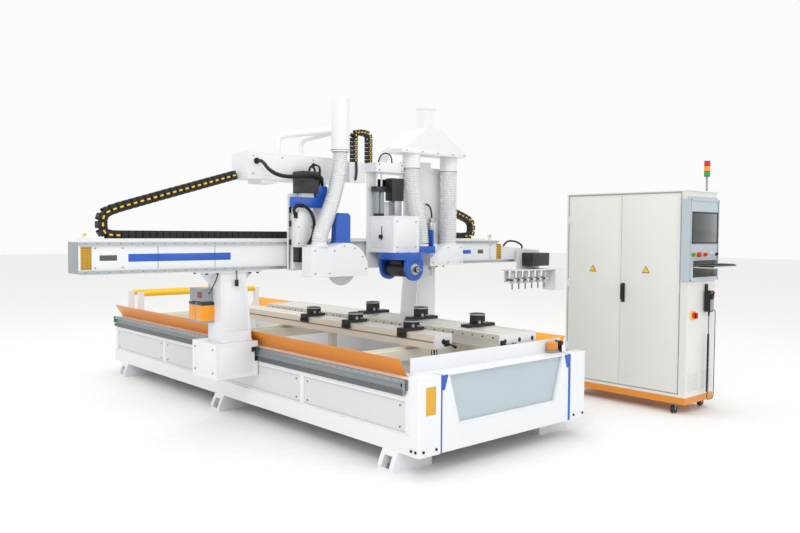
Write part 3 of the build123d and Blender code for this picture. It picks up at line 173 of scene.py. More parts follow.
def enamel(name, colour, rough=0.38):
    """Baked enamel on sheet steel: faint orange peel 3 mm across, soft gloss, slightly uneven colour."""
    material, tree, shader, place = start_material(name, {"IOR": 1.5, "Coat Weight": 0.25, "Coat Roughness": 0.2})
    wide = mottled(tree, shader, place, colour, 0.035, 2.2)
    rough_between(tree, shader, wide.outputs["Fac"], rough - 0.06, rough + 0.08)
    peel = add_node(tree, "ShaderNodeTexNoise", values={"Scale": 330.0, "Detail": 2.0}, links={"Vector": place})
    bumped(tree, shader, peel.outputs["Fac"], 0.0004, 0.25)
    return material


def brushed_metal(name, colour, rough, along):
    """Ground steel or drawn aluminium: fine lines along one axis, 1 mm apart so that they show."""
    material, tree, shader, place = start_material(name, {"Metallic": 1.0})
    stretch = [1000.0 if axis != along else 12.0 for axis in range(3)]
    mapping = add_node(tree, "ShaderNodeMapping", values={"Scale": stretch}, links={"Vector": place})
    lines = add_node(tree, "ShaderNodeTexNoise", values={"Scale": 1.0, "Detail": 2.0},
                     links={"Vector": mapping.outputs["Vector"]})
    mottled(tree, shader, place, colour, 0.06, 9.0)
    rough_between(tree, shader, lines.outputs["Fac"], rough - 0.08, rough + 0.1)
    bumped(tree, shader, lines.outputs["Fac"], 0.0002, 0.2)
    return material


def moulded(name, colour, rough=0.5, grain=0.3):
    """Moulded plastic or rubber: even colour, fine spark-eroded grain 1.5 mm across."""
    material, tree, shader, place = start_material(name, {"IOR": 1.46})
    mottled(tree, shader, place, colour, 0.06, 14.0)
    fine = add_node(tree, "ShaderNodeTexNoise", values={"Scale": 650.0, "Detail": 1.0}, links={"Vector": place})
    rough_between(tree, shader, fine.outputs["Fac"], rough - 0.05, rough + 0.07)
    bumped(tree, shader, fine.outputs["Fac"], 0.0003, grain)
    return material


def clear_hose(name):
    """Blown polyurethane hose wall: milky, lets part of the light through."""
    material, tree, shader, place = start_material(
        name, {"IOR": 1.5, "Transmission Weight": 0.35, "Coat Weight": 0.4, "Coat Roughness": 0.1})
    haze = mottled(tree, shader, place, linear("#F3F5F6"), 0.05, 25.0)
    rough_between(tree, shader, haze.outputs["Fac"], 0.18, 0.34)
    return material


def lit_glass(name, colour):
    """Cover glass over a dark display: deep colour, hard gloss, faint smears that show in the light."""
    material, tree, shader, place = start_material(name, {"IOR": 1.52, "Coat Weight": 0.8, "Coat Roughness": 0.04})
    smear = mottled(tree, shader, place, colour, 0.25, 7.0)
    rough_between(tree, shader, smear.outputs["Fac"], 0.08, 0.2)
    return material


materials = {}


def make_materials():
    """All finishes of the machine, by short name."""
    tint = colours()
    materials.update(
        body=enamel("baked_enamel_white", tint.body),
        cabinet=enamel("powder_coat_light_grey", tint.cabinet, 0.45),
        panel=enamel("powder_coat_blue_grey", tint.panel, 0.42),
        blue=enamel("baked_enamel_blue", tint.blue, 0.34),
        orange=enamel("powder_coat_orange", tint.orange, 0.42),
        ochre=enamel("powder_coat_ochre", tint.ochre, 0.45),
        cream=enamel("primer_paint_cream", tint.cream, 0.5),
        grey_box=enamel("powder_coat_mid_grey", linear("#8F979C"), 0.45),
        dark_grey=enamel("powder_coat_dark_grey", linear("#4B5054"), 0.5),
        motor=enamel("stoved_paint_black", linear("#1A1B1D"), 0.42),
        red_stripe=enamel("enamel_dark_red", linear("#8E1F22"), 0.4),
        side=enamel("powder_coat_pale_grey", linear("#D3D6D9"), 0.42),
        # painted light: a lighter copy of the guard orange for the guards' lit inner faces
        bright=enamel("orange_painted_light", linear("#FBAE2E"), 0.42),
        rack=brushed_metal("hardened_rack_steel", linear("#6F7478"), 0.4, 1),
        # grey for the door seals, and painted shade: the slot bottoms of beam A and a shadow line along each rail
        seam=enamel("seam_sealer_grey", linear("#8D9092"), 0.6),
        rail=brushed_metal("ground_rail_steel", linear("#9EA3A6"), 0.28, 1),
        beam_rail=brushed_metal("ground_beam_rail_steel", linear("#B4B8BA"), 0.28, 0),
        blade=brushed_metal("ground_saw_steel", linear("#B7B9BB"), 0.3, 0),
        profile=brushed_metal("anodised_aluminium_profile", linear("#E4E3DC"), 0.5, 1),
        cast=brushed_metal("machined_aluminium", linear("#B9BCBE"), 0.38, 2),
        bolt=brushed_metal("zinc_plated_screw", linear("#8E9092"), 0.35, 2),
        black=moulded("moulded_nylon_black", linear("#17181A"), 0.48),
        rubber=moulded("vulcanised_rubber_black", linear("#1F2021"), 0.7, 0.5),
        grey=moulded("moulded_abs_grey", linear("#9A9EA1"), 0.45),
        pale=moulded("moulded_abs_pale", linear("#D9DBDB"), 0.4),
        yellow=moulded("moulded_abs_yellow", linear("#F2C21A"), 0.38),
        red=moulded("moulded_abs_red", linear("#D3201D"), 0.32),
        green=moulded("moulded_abs_green", linear("#2E9A48"), 0.35),
        amber=moulded("moulded_polycarbonate_amber", linear("#F09A1E"), 0.25),
        teal=moulded("moulded_cap_teal", linear("#2C9C93"), 0.4),
        hose=clear_hose("blown_polyurethane_clear"),
        rib=moulded("extruded_pvc_rib_pale", linear("#E9ECED"), 0.4),
        screen=lit_glass("cover_glass_dark", linear("#20262B")),
        floor=moulded("sealed_concrete_pale", linear("#F1F1EF"), 0.75, 0.1),
    )


# ---- Modelling ----


def deselect():
    """Leaves edit mode and selects nothing."""
    if bpy.context.object and bpy.context.object.mode != "OBJECT":
        bpy.ops.object.mode_set(mode="OBJECT")
    bpy.ops.object.select_all(action="DESELECT")


def apply_place():
    bpy.ops.object.transform_apply(location=True, rotation=True, scale=True)
    return bpy.context.object


def bevel(piece, width, segments=2):
    """Rounds the sharp edges and applies the modifier."""
    modifier = piece.modifiers.new("edges", "BEVEL")
    modifier.width = width
    modifier.segments = segments
    modifier.limit_method = "ANGLE"
    modifier.angle_limit = math.radians(40)
    bpy.ops.object.modifier_apply(modifier=modifier.name)
    return piece


def smooth(piece, angle=32):
    bpy.ops.object.shade_smooth_by_angle(angle=math.radians(angle))
    return piece


def block(low, high, edge=0.002, segments=2):
    """A box between two corners, with rounded edges."""
    deselect()
    low, high = Vector(low), Vector(high)
    bpy.ops.mesh.primitive_cube_add(size=1, location=(low + high) / 2)
    bpy.context.object.scale = high - low
    return smooth(bevel(apply_place(), edge, segments))


def turned(radius, start, end, edge=0.001, sides=32, top_radius=None):
    """A round part between two points, with rounded rims."""
    deselect()
    start, end = Vector(start), Vector(end)
    turn = (end - start).to_track_quat("Z", "Y").to_euler()
    bpy.ops.mesh.primitive_cone_add(
        vertices=sides, radius1=radius, radius2=radius if top_radius is None else top_radius,
        depth=(end - start).length, location=(start + end) / 2, rotation=turn)
    piece = apply_place()
    if edge:
        bevel(piece, edge)
    return smooth(piece)


def ring(radius, thickness, centre, direction, sides=36, rim_sides=8):
    """A torus round an axis."""
    deselect()
    turn = Vector(direction).to_track_quat("Z", "Y").to_euler()
    bpy.ops.mesh.primitive_torus_add(
        major_radius=radius, minor_radius=thickness, major_segments=sides, minor_segments=rim_sides,
        location=centre, rotation=turn)
    return smooth(apply_place(), 60)


def plate(outline, start, thickness, edge=0.001):
    """A flat plate: the outline is a ring of points in space, extruded by a vector from its start."""
    deselect()
    bpy.ops.mesh.primitive_circle_add(vertices=len(outline), radius=1, fill_type="NGON")
    piece = bpy.context.object
    for vertex, point in zip(piece.data.vertices, outline):
        vertex.co = Vector(point) + Vector(start)
    bpy.ops.object.mode_set(mode="EDIT")
    bpy.ops.mesh.select_all(action="SELECT")
    bpy.ops.mesh.extrude_region_move(TRANSFORM_OT_translate={"value": thickness})
    bpy.ops.mesh.select_all(action="SELECT")
    bpy.ops.mesh.normals_make_consistent(inside=False)
    bpy.ops.object.mode_set(mode="OBJECT")
    piece = apply_place()
    if edge:
        bevel(piece, edge)
    return smooth(piece)


def copies(piece, offsets):
    """The piece and its moved copies, joined into one mesh."""
    made = [piece]
    for offset in offsets:
        copy = piece.copy()
        copy.data = piece.data.copy()
        copy.data.transform(Matrix.Translation(Vector(offset)))
        bpy.context.collection.objects.link(copy)
        made.append(copy)
    return joined(made)


def joined(pieces):
    """Several pieces joined into the first one."""
    if len(pieces) == 1:
        return pieces[0]
    deselect()
    for piece in pieces:
        piece.select_set(True)
    bpy.context.view_layer.objects.active = pieces[0]
    bpy.ops.object.join()
    return bpy.context.object


def finished(piece, name, body, material):
    """Names the piece, gives it its finish and lets it ride on its body."""
    piece.name = name
    piece.data.name = name
    piece.data.materials.clear()
    piece.data.materials.append(materials[material])
    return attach(piece, body)


def group(name, body, material, pieces):
    return finished(joined(pieces), name, body, material)


def curve_from(points, radius=0.0, steps=12):
    """A NURBS line through space with a round section."""
    data = bpy.data.curves.new("line", "CURVE")
    data.dimensions = "3D"
    data.bevel_depth = radius
    data.bevel_resolution = 4
    data.use_fill_caps = radius > 0
    spline = data.splines.new("NURBS")
    spline.points.add(len(points) - 1)
    for control, point in zip(spline.points, points):
        control.co = (*point, 1)
    spline.order_u = 3
    spline.use_endpoint_u = True
    spline.resolution_u = steps
    line = bpy.data.objects.new("line", data)
    bpy.context.collection.objects.link(line)
    return line


def line_points(points, steps=12):
    """Points along the NURBS line of these control points."""
    line = curve_from(points, steps=steps)
    bpy.context.view_layer.update()
    mesh = bpy.data.meshes.new_from_object(line.evaluated_get(bpy.context.evaluated_depsgraph_get()))
    found = [vertex.co.copy() for vertex in mesh.vertices]
    bpy.data.objects.remove(line)
    return found


def walked(points, pitch):
    """Places and directions at even steps along a chain of points."""
    places = []
    travelled, target = 0.0, pitch / 2
    for first, second in zip(points, points[1:]):
        step = second - first
        while step.length > 0 and travelled + step.length >= target:
            places.append((first + step * ((target - travelled) / step.length), step.normalized()))
            target += pitch
        travelled += step.length
    return places


def tube(points, radius):
    """A round tube or cable along a NURBS line, as a mesh."""
    deselect()
    line = curve_from(points, radius)
    line.select_set(True)
    bpy.context.view_layer.objects.active = line
    bpy.ops.object.convert(target="MESH")
    return smooth(bpy.context.object, 60)


def placed_along(piece, places, side):
    """Copies of a piece, its +X along the line at each place, joined into one mesh."""
    made = []
    for point, direction in places:
        across = Vector(side)
        up = direction.cross(across).normalized()
        turn = Matrix((direction, across, up)).transposed().to_4x4()
        copy = piece.copy()
        copy.data = piece.data.copy()
        copy.data.transform(Matrix.Translation(point) @ turn)
        bpy.context.collection.objects.link(copy)
        made.append(copy)
    bpy.data.objects.remove(piece)
    return joined(made)


def screw_heads(places, direction, radius=None):
    """Round screw heads with a socket, at the given places."""
    radius = radius or sizes().bolt_radius
    out = Vector(direction)
    first = Vector(places[0])
    head = turned(radius, first, first + out * radius * 0.8, radius * 0.2, 16)
    socket = turned(radius * 0.5, first + out * radius * 0.5, first + out * radius * 0.85, 0, 6)
    head = joined([head, socket])
    return copies(head, [Vector(place) - first for place in places[1:]])


# ---- Operators ----


class RouterOperator:
    """Shared by the operators that build one group of pieces."""

    bl_options = {"REGISTER", "UNDO"}

    def execute(self, context):
        self.build()
        return {"FINISHED"}


class ROUTER_OT_stage(RouterOperator, bpy.types.Operator):
    """Floor, lights and camera"""

    bl_idname = "router.stage"
    bl_label = "Stage"

    def build(self):
        scene = bpy.context.scene
        deselect()
        bpy.ops.mesh.primitive_plane_add(size=90, location=(0, 0, 0))
        floor = bpy.context.object
        floor.name = "floor"
        floor.data.materials.append(materials["floor"])
        world = bpy.data.worlds.new("studio")
        world.use_nodes = True
        world.node_tree.nodes["Background"].inputs["Color"].default_value = (1, 1, 1, 1)
        world.node_tree.nodes["Background"].inputs["Strength"].default_value = 0.97
        scene.world = world
        self.lamp("key", (-6.5, -6.5, 7.5), 260, 4.0)
        self.lamp("fill", (3.5, -9.0, 4.0), 60, 5.0)
        self.lamp("top", (0.5, 1.0, 8.0), 130, 6.0)
        data = bpy.data.cameras.new("camera")
        data.lens = 34.77
        data.sensor_width = 36
        data.clip_end = 200
        camera = bpy.data.objects.new("camera", data)
        bpy.context.collection.objects.link(camera)
        camera.location = (-4.0312, -5.7585, 1.5096)
        yaw, pitch, roll = 0.8439, 0.0444, 0.0067
        ahead = Vector((math.cos(yaw) * math.cos(pitch), math.sin(yaw) * math.cos(pitch), -math.sin(pitch)))
        right = Vector((math.sin(yaw), -math.cos(yaw), 0))
        up = right.cross(ahead)
        turned_right = math.cos(roll) * right + math.sin(roll) * up
        turned_up = math.cos(roll) * up - math.sin(roll) * right
        camera.rotation_mode = "QUATERNION"
        camera.rotation_quaternion = Matrix((turned_right, turned_up, -ahead)).transposed().to_quaternion()
        scene.camera = camera
        scene.view_settings.view_transform = "Standard"

    def lamp(self, name, place, power, size):
        """Square soft light that faces the machine's middle."""
        data = bpy.data.lights.new(name, "AREA")
        data.energy = power
        data.size = size
        lamp = bpy.data.objects.new(name, data)
        bpy.context.collection.objects.link(lamp)
        lamp.location = place
        lamp.rotation_mode = "QUATERNION"
        lamp.rotation_quaternion = (Vector((0, 0, 1)) - Vector(place)).to_track_quat("-Z", "Y")


node_finishes = {
    "body": [
        "bed_frame", "corner_posts", "front_fascia", "gantry_columns", "foot_housings", "gantry_beam",
        "saw_carriage", "saw_cable_box", "saw_duct", "saw_slide", "saw_guard", "spindle_carriage",
        "dust_hood", "milling_cover", "spindle_cover",
    ],
    "panel": ["fascia_panel", "control_console"],
    "side": ["side_panels"],
    "cabinet": ["cabinet_shell", "cabinet_door_front", "cabinet_door_rear", "keyboard_tray"],
    "orange": ["sheet_guards", "cabinet_plinth"],
    "cream": ["cross_supports"],
    "blue": ["saw_motor", "yoke"],
    "pale": ["tool_magazine"],
    "rail": ["bed_rails"],
    "beam_rail": ["beam_rails", "mill_spindle", "spindle_tool"],
    "blade": ["saw_blade"],
    "profile": ["work_beam_a", "work_beam_b"],
    "grey_box": ["lubricator", "lift_cylinders"],
    "yellow": ["roller_front", "roller_rear"],
    "grey": ["stack_light"],
    "black": [
        "pendant", "door_handle", "pod_1", "pod_2", "pod_3", "pod_4", "pod_5", "pod_6", "z_chain",
    ],
    "green": ["start_button"],
    "red": ["e_stop_button", "stop_button", "main_switch"],
}


class ROUTER_OT_finishes(RouterOperator, bpy.types.Operator):
    """Finishes of the CAD parts that keep their own shape"""

    bl_idname = "router.finishes"
    bl_label = "Finishes of the main parts"

    def build(self):
        for material, nodes in node_finishes.items():
            for node in nodes:
                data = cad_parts[node].data
                data.materials.clear()
                data.materials.append(materials[material])


class RouterPanel(bpy.types.Panel):
    """Colours, sizes and steps"""

    bl_idname = "ROUTER_PT_steps"
    bl_label = "Gantry router"
    bl_space_type = "VIEW_3D"
    bl_region_type = "UI"
    bl_category = "Router"

    def draw(self, context):
        for settings in (context.scene.router_colours, context.scene.router_sizes):
            box = self.layout.box()
            for name in settings.bl_rna.properties.keys():
                if name not in ("rna_type", "name"):
                    box.prop(settings, name)
        for step in steps:
            self.layout.operator(step.bl_idname)


class ROUTER_OT_bed(RouterOperator, bpy.types.Operator):
    """Trims, latches, screws and rail parts of the bed"""

    bl_idname = "router.bed"
    bl_label = "Bed trims"

    def build(self):
        self.front_trims()
        self.side_latches()
        self.rail_parts()
        self.painted_light_on_guards()
        self.feet_parts()
        self.front_desk_box()

    def front_trims(self):
        """Blue strips beside the front cover, its rim strip, the post caps and the screws."""
        low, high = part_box("front_fascia")
        post_low, post_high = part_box("corner_posts")
        front = low.y
        strips = []
        for side in (-1, 1):
            inner, outer = sorted((side * 0.6530, side * 0.6710))
            strips.append(block((inner, front - 0.0035, 0.132), (outer, front + 0.05, 0.622), 0.001))
        group("front_blue_strips", "base", "blue", strips)
        ledge = []
        for side in (-1, 1):
            ledge.append(plate([(side * 0.652, 0, 0.525), (side * 0.652, 0, 0.620), (side * 0.602, 0, 0.620), (side * 0.632, 0, 0.525)],
                               (0, front - 0.003, 0), (0, 0.004, 0), 0.001))
        group("front_blue_caps", "base", "blue", ledge)
        frame_bars = [
            plate([(-0.500, 0, 0.287), (0.500, 0, 0.287), (0.484, 0, 0.300), (-0.484, 0, 0.300)],
                  (0, front + 0.002, 0), (0, 0.022, 0), 0.0015),
            plate([(-0.600, 0, 0.614), (-0.500, 0, 0.287), (-0.488, 0, 0.290), (-0.586, 0, 0.614)],
                  (0, front + 0.002, 0), (0, 0.022, 0), 0.0015),
            plate([(0.600, 0, 0.614), (0.500, 0, 0.287), (0.488, 0, 0.290), (0.586, 0, 0.614)],
                  (0, front + 0.002, 0), (0, 0.022, 0), 0.0015),
        ]
        group("front_recess_lining", "base", "body", frame_bars)
        places = [(x, post_low.y, z) for x in (-0.82, -0.71, 0.71, 0.82) for z in (0.165,)]
        finished(screw_heads(places, (0, -1, 0)), "post_screws_front", "base", "rubber")
        places = [(post_low.x, y, 0.165) for y in (-2.345, -2.305)]
        finished(screw_heads(places, (-1, 0, 0)), "post_screws_side", "base", "rubber")
        plain_plate = plate([(-0.80, 0, 0.385), (-0.715, 0, 0.385), (-0.715, 0, 0.560), (-0.80, 0, 0.560)],
                            (0, post_low.y, 0), (0, -0.0012, 0), 0.0004)
        finished(plain_plate, "post_plate", "base", "ochre")
        caps = []
        for side in (-1, 1):
            inner, outer = sorted((side * 0.674, side * 0.855))
            caps.append(block((inner, post_low.y + 0.002, post_high.z - 0.004),
                              (outer, post_high.y - 0.002, post_high.z + 0.002), 0.0018))
        group("post_caps", "base", "body", caps)

    def side_latches(self):
        """Quarter-turn latches with their slots, and folded rims of the access panels on both sides."""
        low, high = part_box("side_panels")
        pitch = (high.y - low.y + 0.043) / 4
        latches, slots, rims = [], [], []
        for index in range(4):
            start = low.y + index * pitch
            end = start + pitch - 0.043
            for side in (-1, 1):
                face = side * 0.840
                out = Vector((side, 0, 0))
                for y in (start + 0.05, end - 0.05):
                    for z in (0.292, 0.428):
                        centre = Vector((face, y, z))
                        latches.append(turned(0.006, centre, centre + out * 0.005, 0.001, 16))
                        slots.append(block(centre + out * 0.0045 - Vector((0.001, 0.004, 0.0008)),
                                           centre + out * 0.0055 + Vector((0.001, 0.004, 0.0008)), 0.0002, 1))
                inner, outer = sorted((face, face + side * 0.0045))
                for z in (0.266, 0.4485):
                    rims.append(block((inner, start + 0.004, z), (outer, end - 0.004, z + 0.006), 0.001, 1))
        group("panel_latches", "base", "dark_grey", latches)
        group("panel_latch_slots", "base", "bolt", slots)
        group("panel_rims", "base", "side", rims)

    def rail_parts(self):
        """Rack teeth, rail screw caps and the end blocks of the rails."""
        low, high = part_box("bed_rails")
        start, end = low.y + 0.03, high.y - 0.01
        teeth_pitch = 0.0157
        count = int((end - start) / teeth_pitch)
        for side, label in ((-1, "left"), (1, "right")):
            inner, outer = sorted((side * 0.8425, side * 0.8595))
            tooth = plate([(inner, -0.005, 0.4995), (inner, -0.0028, 0.4935), (inner, 0.0028, 0.4935),
                           (inner, 0.005, 0.4995)], (0, start + 0.01, 0), (outer - inner, 0, 0), 0)
            finished(copies(tooth, [(0, teeth_pitch * n, 0) for n in range(1, count)]),
                     f"rack_teeth_{label}", "base", "rack")
            inner_x, outer_x = sorted((side * 0.8590, side * 0.8606))
            finished(block((inner_x, start, 0.5005), (outer_x, end, 0.5245), 0.0005, 1), f"rack_face_{label}", "base", "rack")
            inner_x, outer_x = sorted((side * 0.8420, side * 0.8430))
            # painted shadow: a dark grey line along the rail where its shadow falls
            finished(block((inner_x, start, 0.526), (outer_x, end, 0.572), 0.0003, 1), f"rail_shadow_{label}", "base", "seam")
            cap_pitch = 0.08
            caps = int((end - start) / cap_pitch)
            centre = Vector((side * 0.864, start + 0.03, 0.586))
            cap = turned(0.0065, centre - Vector((side * 0.001, 0, 0)), centre + Vector((side * 0.0012, 0, 0)), 0.0004, 14)
            finished(copies(cap, [(0, cap_pitch * n, 0) for n in range(1, caps)]),
                     f"rail_caps_{label}", "base", "teal")
            ends = [block((min(side * 0.842, side * 0.870), y, 0.532), (max(side * 0.842, side * 0.870), y + 0.016, 0.597), 0.003)
                    for y in (high.y - 0.02,)]
            group(f"rail_end_{label}", "base", "green", ends)
            buffer = turned(0.014, (side * 0.857, -2.236, 0.563), (side * 0.857, -2.214, 0.563), 0.003, 20)
            finished(buffer, f"rail_buffer_{label}", "base", "rubber")

    def painted_light_on_guards(self):
        """Painted light: a lighter orange on the inner faces of the sheet guards, where the light falls on them."""
        low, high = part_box("sheet_guards")
        for side, label in ((-1, "left"), (1, "right")):
            foot, tip = Vector((side * 0.7790, 0, 0.6045)), Vector((side * 0.8530, 0, 0.7185))
            out = Vector((side * 0.0012, 0, -0.0008))
            outline = [(p.x - side * 0.0028, 0, p.z + 0.0016) for p in (foot, tip)] + [(p.x - side * 0.0016, 0, p.z + 0.0008) for p in (tip, foot)]
            # a thin plate in painted light, lighter orange, on the guard's inner face
            lining = plate(outline, (0, low.y + 0.012, 0), (0, high.y - low.y - 0.024, 0), 0)
            finished(lining, f"guard_painted_light_{label}", "base", "bright")

    def feet_parts(self):
        """Washers and hexagon heads of the anchor bolts."""
        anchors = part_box("bed_frame")
        washers, heads = [], []
        for side in (-1, 1):
            for y in (-2.105, 0.105, 2.105):
                centre = Vector((side * 0.870, y, 0.020))
                washers.append(turned(0.018, centre, centre + Vector((0, 0, 0.003)), 0.0006, 24))
                heads.append(turned(0.015, centre + Vector((0, 0, 0.003)), centre + Vector((0, 0, 0.014)), 0.001, 6))
                heads.append(turned(0.0085, centre + Vector((0, 0, 0.014)), centre + Vector((0, 0, 0.026)), 0.001, 16))
        group("anchor_washers", "base", "bolt", washers)
        group("anchor_heads", "base", "bolt", heads)

    def front_desk_box(self):
        """Socket box on its base and the valve bracket beside it, at the front right of the bed."""
        base = [block((0.585, -2.270, 0.6205), (0.665, -2.205, 0.640), 0.003)]
        group("socket_base", "base", "grey_box", base)
        body = [block((0.590, -2.264, 0.6405), (0.660, -2.210, 0.700), 0.005),
                block((0.600, -2.268, 0.652), (0.650, -2.262, 0.690), 0.002)]
        group("socket_box", "base", "orange", body)
        bracket = [block((0.700, -2.262, 0.6205), (0.712, -2.205, 0.705), 0.002),
                   block((0.690, -2.252, 0.668), (0.740, -2.215, 0.700), 0.004),
                   turned(0.010, (0.735, -2.235, 0.684), (0.755, -2.235, 0.684), 0.002, 18)]
        group("valve_bracket", "base", "motor", bracket)


class ROUTER_OT_work_beams(RouterOperator, bpy.types.Operator):
    """Grooves, stops, levers and end plates of the work beams, and the pods' small parts"""

    bl_idname = "router.work_beams"
    bl_label = "Work beams and pods"

    def build(self):
        self.beam_a()
        self.beam_b()
        for index in range(1, 7):
            self.pod(index)

    def lever(self, name, body, x, y):
        """Black clamp lever under a beam's front end, with its round grip."""
        parts = [turned(0.012, (x, y + 0.006, 0.722), (x, y - 0.016, 0.722), 0.002, 22),
                 turned(0.0065, (x, y - 0.012, 0.722), (x + 0.062, y - 0.016, 0.694), 0.001, 14),
                 turned(0.012, (x + 0.056, y - 0.0156, 0.697), (x + 0.078, y - 0.017, 0.687), 0.004, 20),
                 block((x - 0.022, y - 0.006, 0.700), (x + 0.022, y + 0.006, 0.744), 0.002)]
        group(name, body, "black", parts)

    def hanging(self, name, body, x, y):
        """Two short cables that hang in a bow under a beam's front end, from a small green plug."""
        parts = []
        for n in range(2):
            start = x + 0.03 * n
            parts.append(tube([(start, y, 0.688), (start, y - 0.004, 0.665), (start - 0.012, y - 0.012, 0.640), (start - 0.004, y - 0.02, 0.622),
                               (start + 0.016, y - 0.014, 0.634), (start + 0.022, y, 0.662), (start + 0.022, y + 0.004, 0.688)], 0.0035))
        group(name, body, "rubber", parts)
        plug = block((x + 0.018, y - 0.010, 0.668), (x + 0.030, y + 0.002, 0.686), 0.001)
        finished(plug, f"{name}_plug", body, "green")

    def beam_a(self):
        low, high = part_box("work_beam_a")
        # painted shade: dark grey strips at the bottom of each side slot, where shade falls
        groove = [block((x, low.y + 0.012, 0.7285), (x + 0.0012, high.y - 0.012, 0.7415), 0.0003, 1)
                  for x in (low.x + 0.0086, high.x - 0.0098)]
        group("beam_a_groove", "beam_a", "seam", groove)
        plates = [block((low.x + 0.002, low.y - 0.002, 0.690), (high.x - 0.002, low.y + 0.001, 0.783), 0.001)]
        group("beam_a_end", "beam_a", "pale", plates)
        centre = Vector(((low.x + high.x) / 2, low.y - 0.0022, 0.735))
        group("beam_a_hole", "beam_a", "rubber",
              [turned(0.020, centre, centre + Vector((0, 0.003, 0)), 0.0008, 28)])
        self.lever("beam_a_lever", "beam_a", (low.x + high.x) / 2 + 0.03, low.y - 0.006)
        self.hanging("beam_a_cables", "beam_a", (low.x + high.x) / 2 - 0.02, low.y + 0.10)
        stops = []
        for y in (-1.72, -1.2, -0.6, 0.0, 0.6):
            stops.append(block((high.x + 0.0006, y, 0.735), (high.x + 0.022, y + 0.05, 0.7845), 0.003))
        group("beam_a_stops", "beam_a", "cast", stops)

    def beam_b(self):
        low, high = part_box("work_beam_b")
        face = low.x
        count = 30
        hole = turned(0.0072, (face - 0.0004, low.y + 0.06, 0.761), (face + 0.004, low.y + 0.06, 0.761), 0, 16)
        finished(copies(hole, [(0, 0.1 * n, 0) for n in range(1, count)]), "beam_b_holes", "beam_b", "rubber")
        insert = turned(0.0072, (face - 0.0012, low.y + 0.11, 0.7715), (face + 0.002, low.y + 0.11, 0.7715), 0.0005, 16)
        finished(copies(insert, [(0, 0.1 * n, 0) for n in range(1, 29)]), "beam_b_inserts", "beam_b", "yellow")
        plates = [block((low.x + 0.002, low.y - 0.002, 0.690), (high.x - 0.002, low.y + 0.001, 0.783), 0.001)]
        group("beam_b_end", "beam_b", "pale", plates)
        holes = []
        for x in (low.x + 0.06, low.x + 0.22, low.x + 0.365):
            holes.append(turned(0.017, (x, low.y - 0.0026, 0.735), (x, low.y + 0.001, 0.735), 0.0008, 26))
        group("beam_b_end_holes", "beam_b", "rubber", holes)
        self.lever("beam_b_lever", "beam_b", low.x + 0.03, low.y - 0.006)
        self.hanging("beam_b_cables", "beam_b", low.x + 0.05, low.y + 0.10)
        knob_y = low.y - 0.0025
        knob = [turned(0.010, (low.x + 0.14, knob_y - 0.024, 0.70), (low.x + 0.14, knob_y, 0.70), 0.002, 20)]
        for angle in range(0, 360, 90):
            turn = math.radians(angle + 45)
            tip = Vector((low.x + 0.14 + 0.026 * math.cos(turn), knob_y - 0.018, 0.70 + 0.026 * math.sin(turn)))
            knob.append(turned(0.007, (low.x + 0.14, knob_y - 0.018, 0.70), tip, 0.003, 14))
        group("beam_b_knob", "beam_b", "black", knob)

    def pod(self, number):
        """Rubber lip, suction face, ribs, air stub and side handle of one pod."""
        body = f"pod_body_{number}"
        low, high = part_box(f"pod_{number}")
        y = (low.y + high.y) / 2
        left_hand = number <= 3
        x = (low.x + high.x - (-0.018 if left_hand else 0.018)) / 2
        top = high.z
        disc = turned(0.0612, (x, y, top - 0.013), (x, y, top - 0.001), 0.003, 44)
        finished(disc, f"pod_cup_{number}", body, "grey")
        lip = joined([ring(0.056, 0.003, (x, y, top - 0.002), (0, 0, 1), 44, 8),
                      ring(0.036, 0.002, (x, y, top - 0.001), (0, 0, 1), 36, 6),
                      turned(0.008, (x, y, top - 0.004), (x, y, top + 0.0006), 0.001, 20)])
        finished(lip, f"pod_lip_{number}", body, "rubber")
        neck_low = low.z + 0.044 + 0.022
        ribs = [block((x - 0.0475, y - 0.0395, neck_low + 0.006 + 0.014 * n), (x + 0.0475, y + 0.0395, neck_low + 0.011 + 0.014 * n), 0.0012, 1)
                for n in range(3)]
        group(f"pod_ribs_{number}", body, "black", ribs)
        side = -1 if left_hand else 1
        jaw = low.x if left_hand else high.x
        handle = [turned(0.007, (jaw, y, low.z + 0.022), (jaw + side * 0.024, y, low.z + 0.022), 0.001, 18),
                  turned(0.013, (jaw + side * 0.018, y, low.z + 0.022), (jaw + side * 0.030, y, low.z + 0.022), 0.003, 24)]
        group(f"pod_handle_{number}", body, "black", handle)
        stub = [turned(0.005, (x + 0.02, y - 0.038, neck_low + 0.012), (x + 0.02, y - 0.060, neck_low + 0.012), 0.001, 14),
                block((x - 0.030, y - 0.0405, neck_low + 0.002), (x - 0.006, y - 0.038, neck_low + 0.026), 0.001, 1)]
        group(f"pod_stub_{number}", body, "grey", stub)


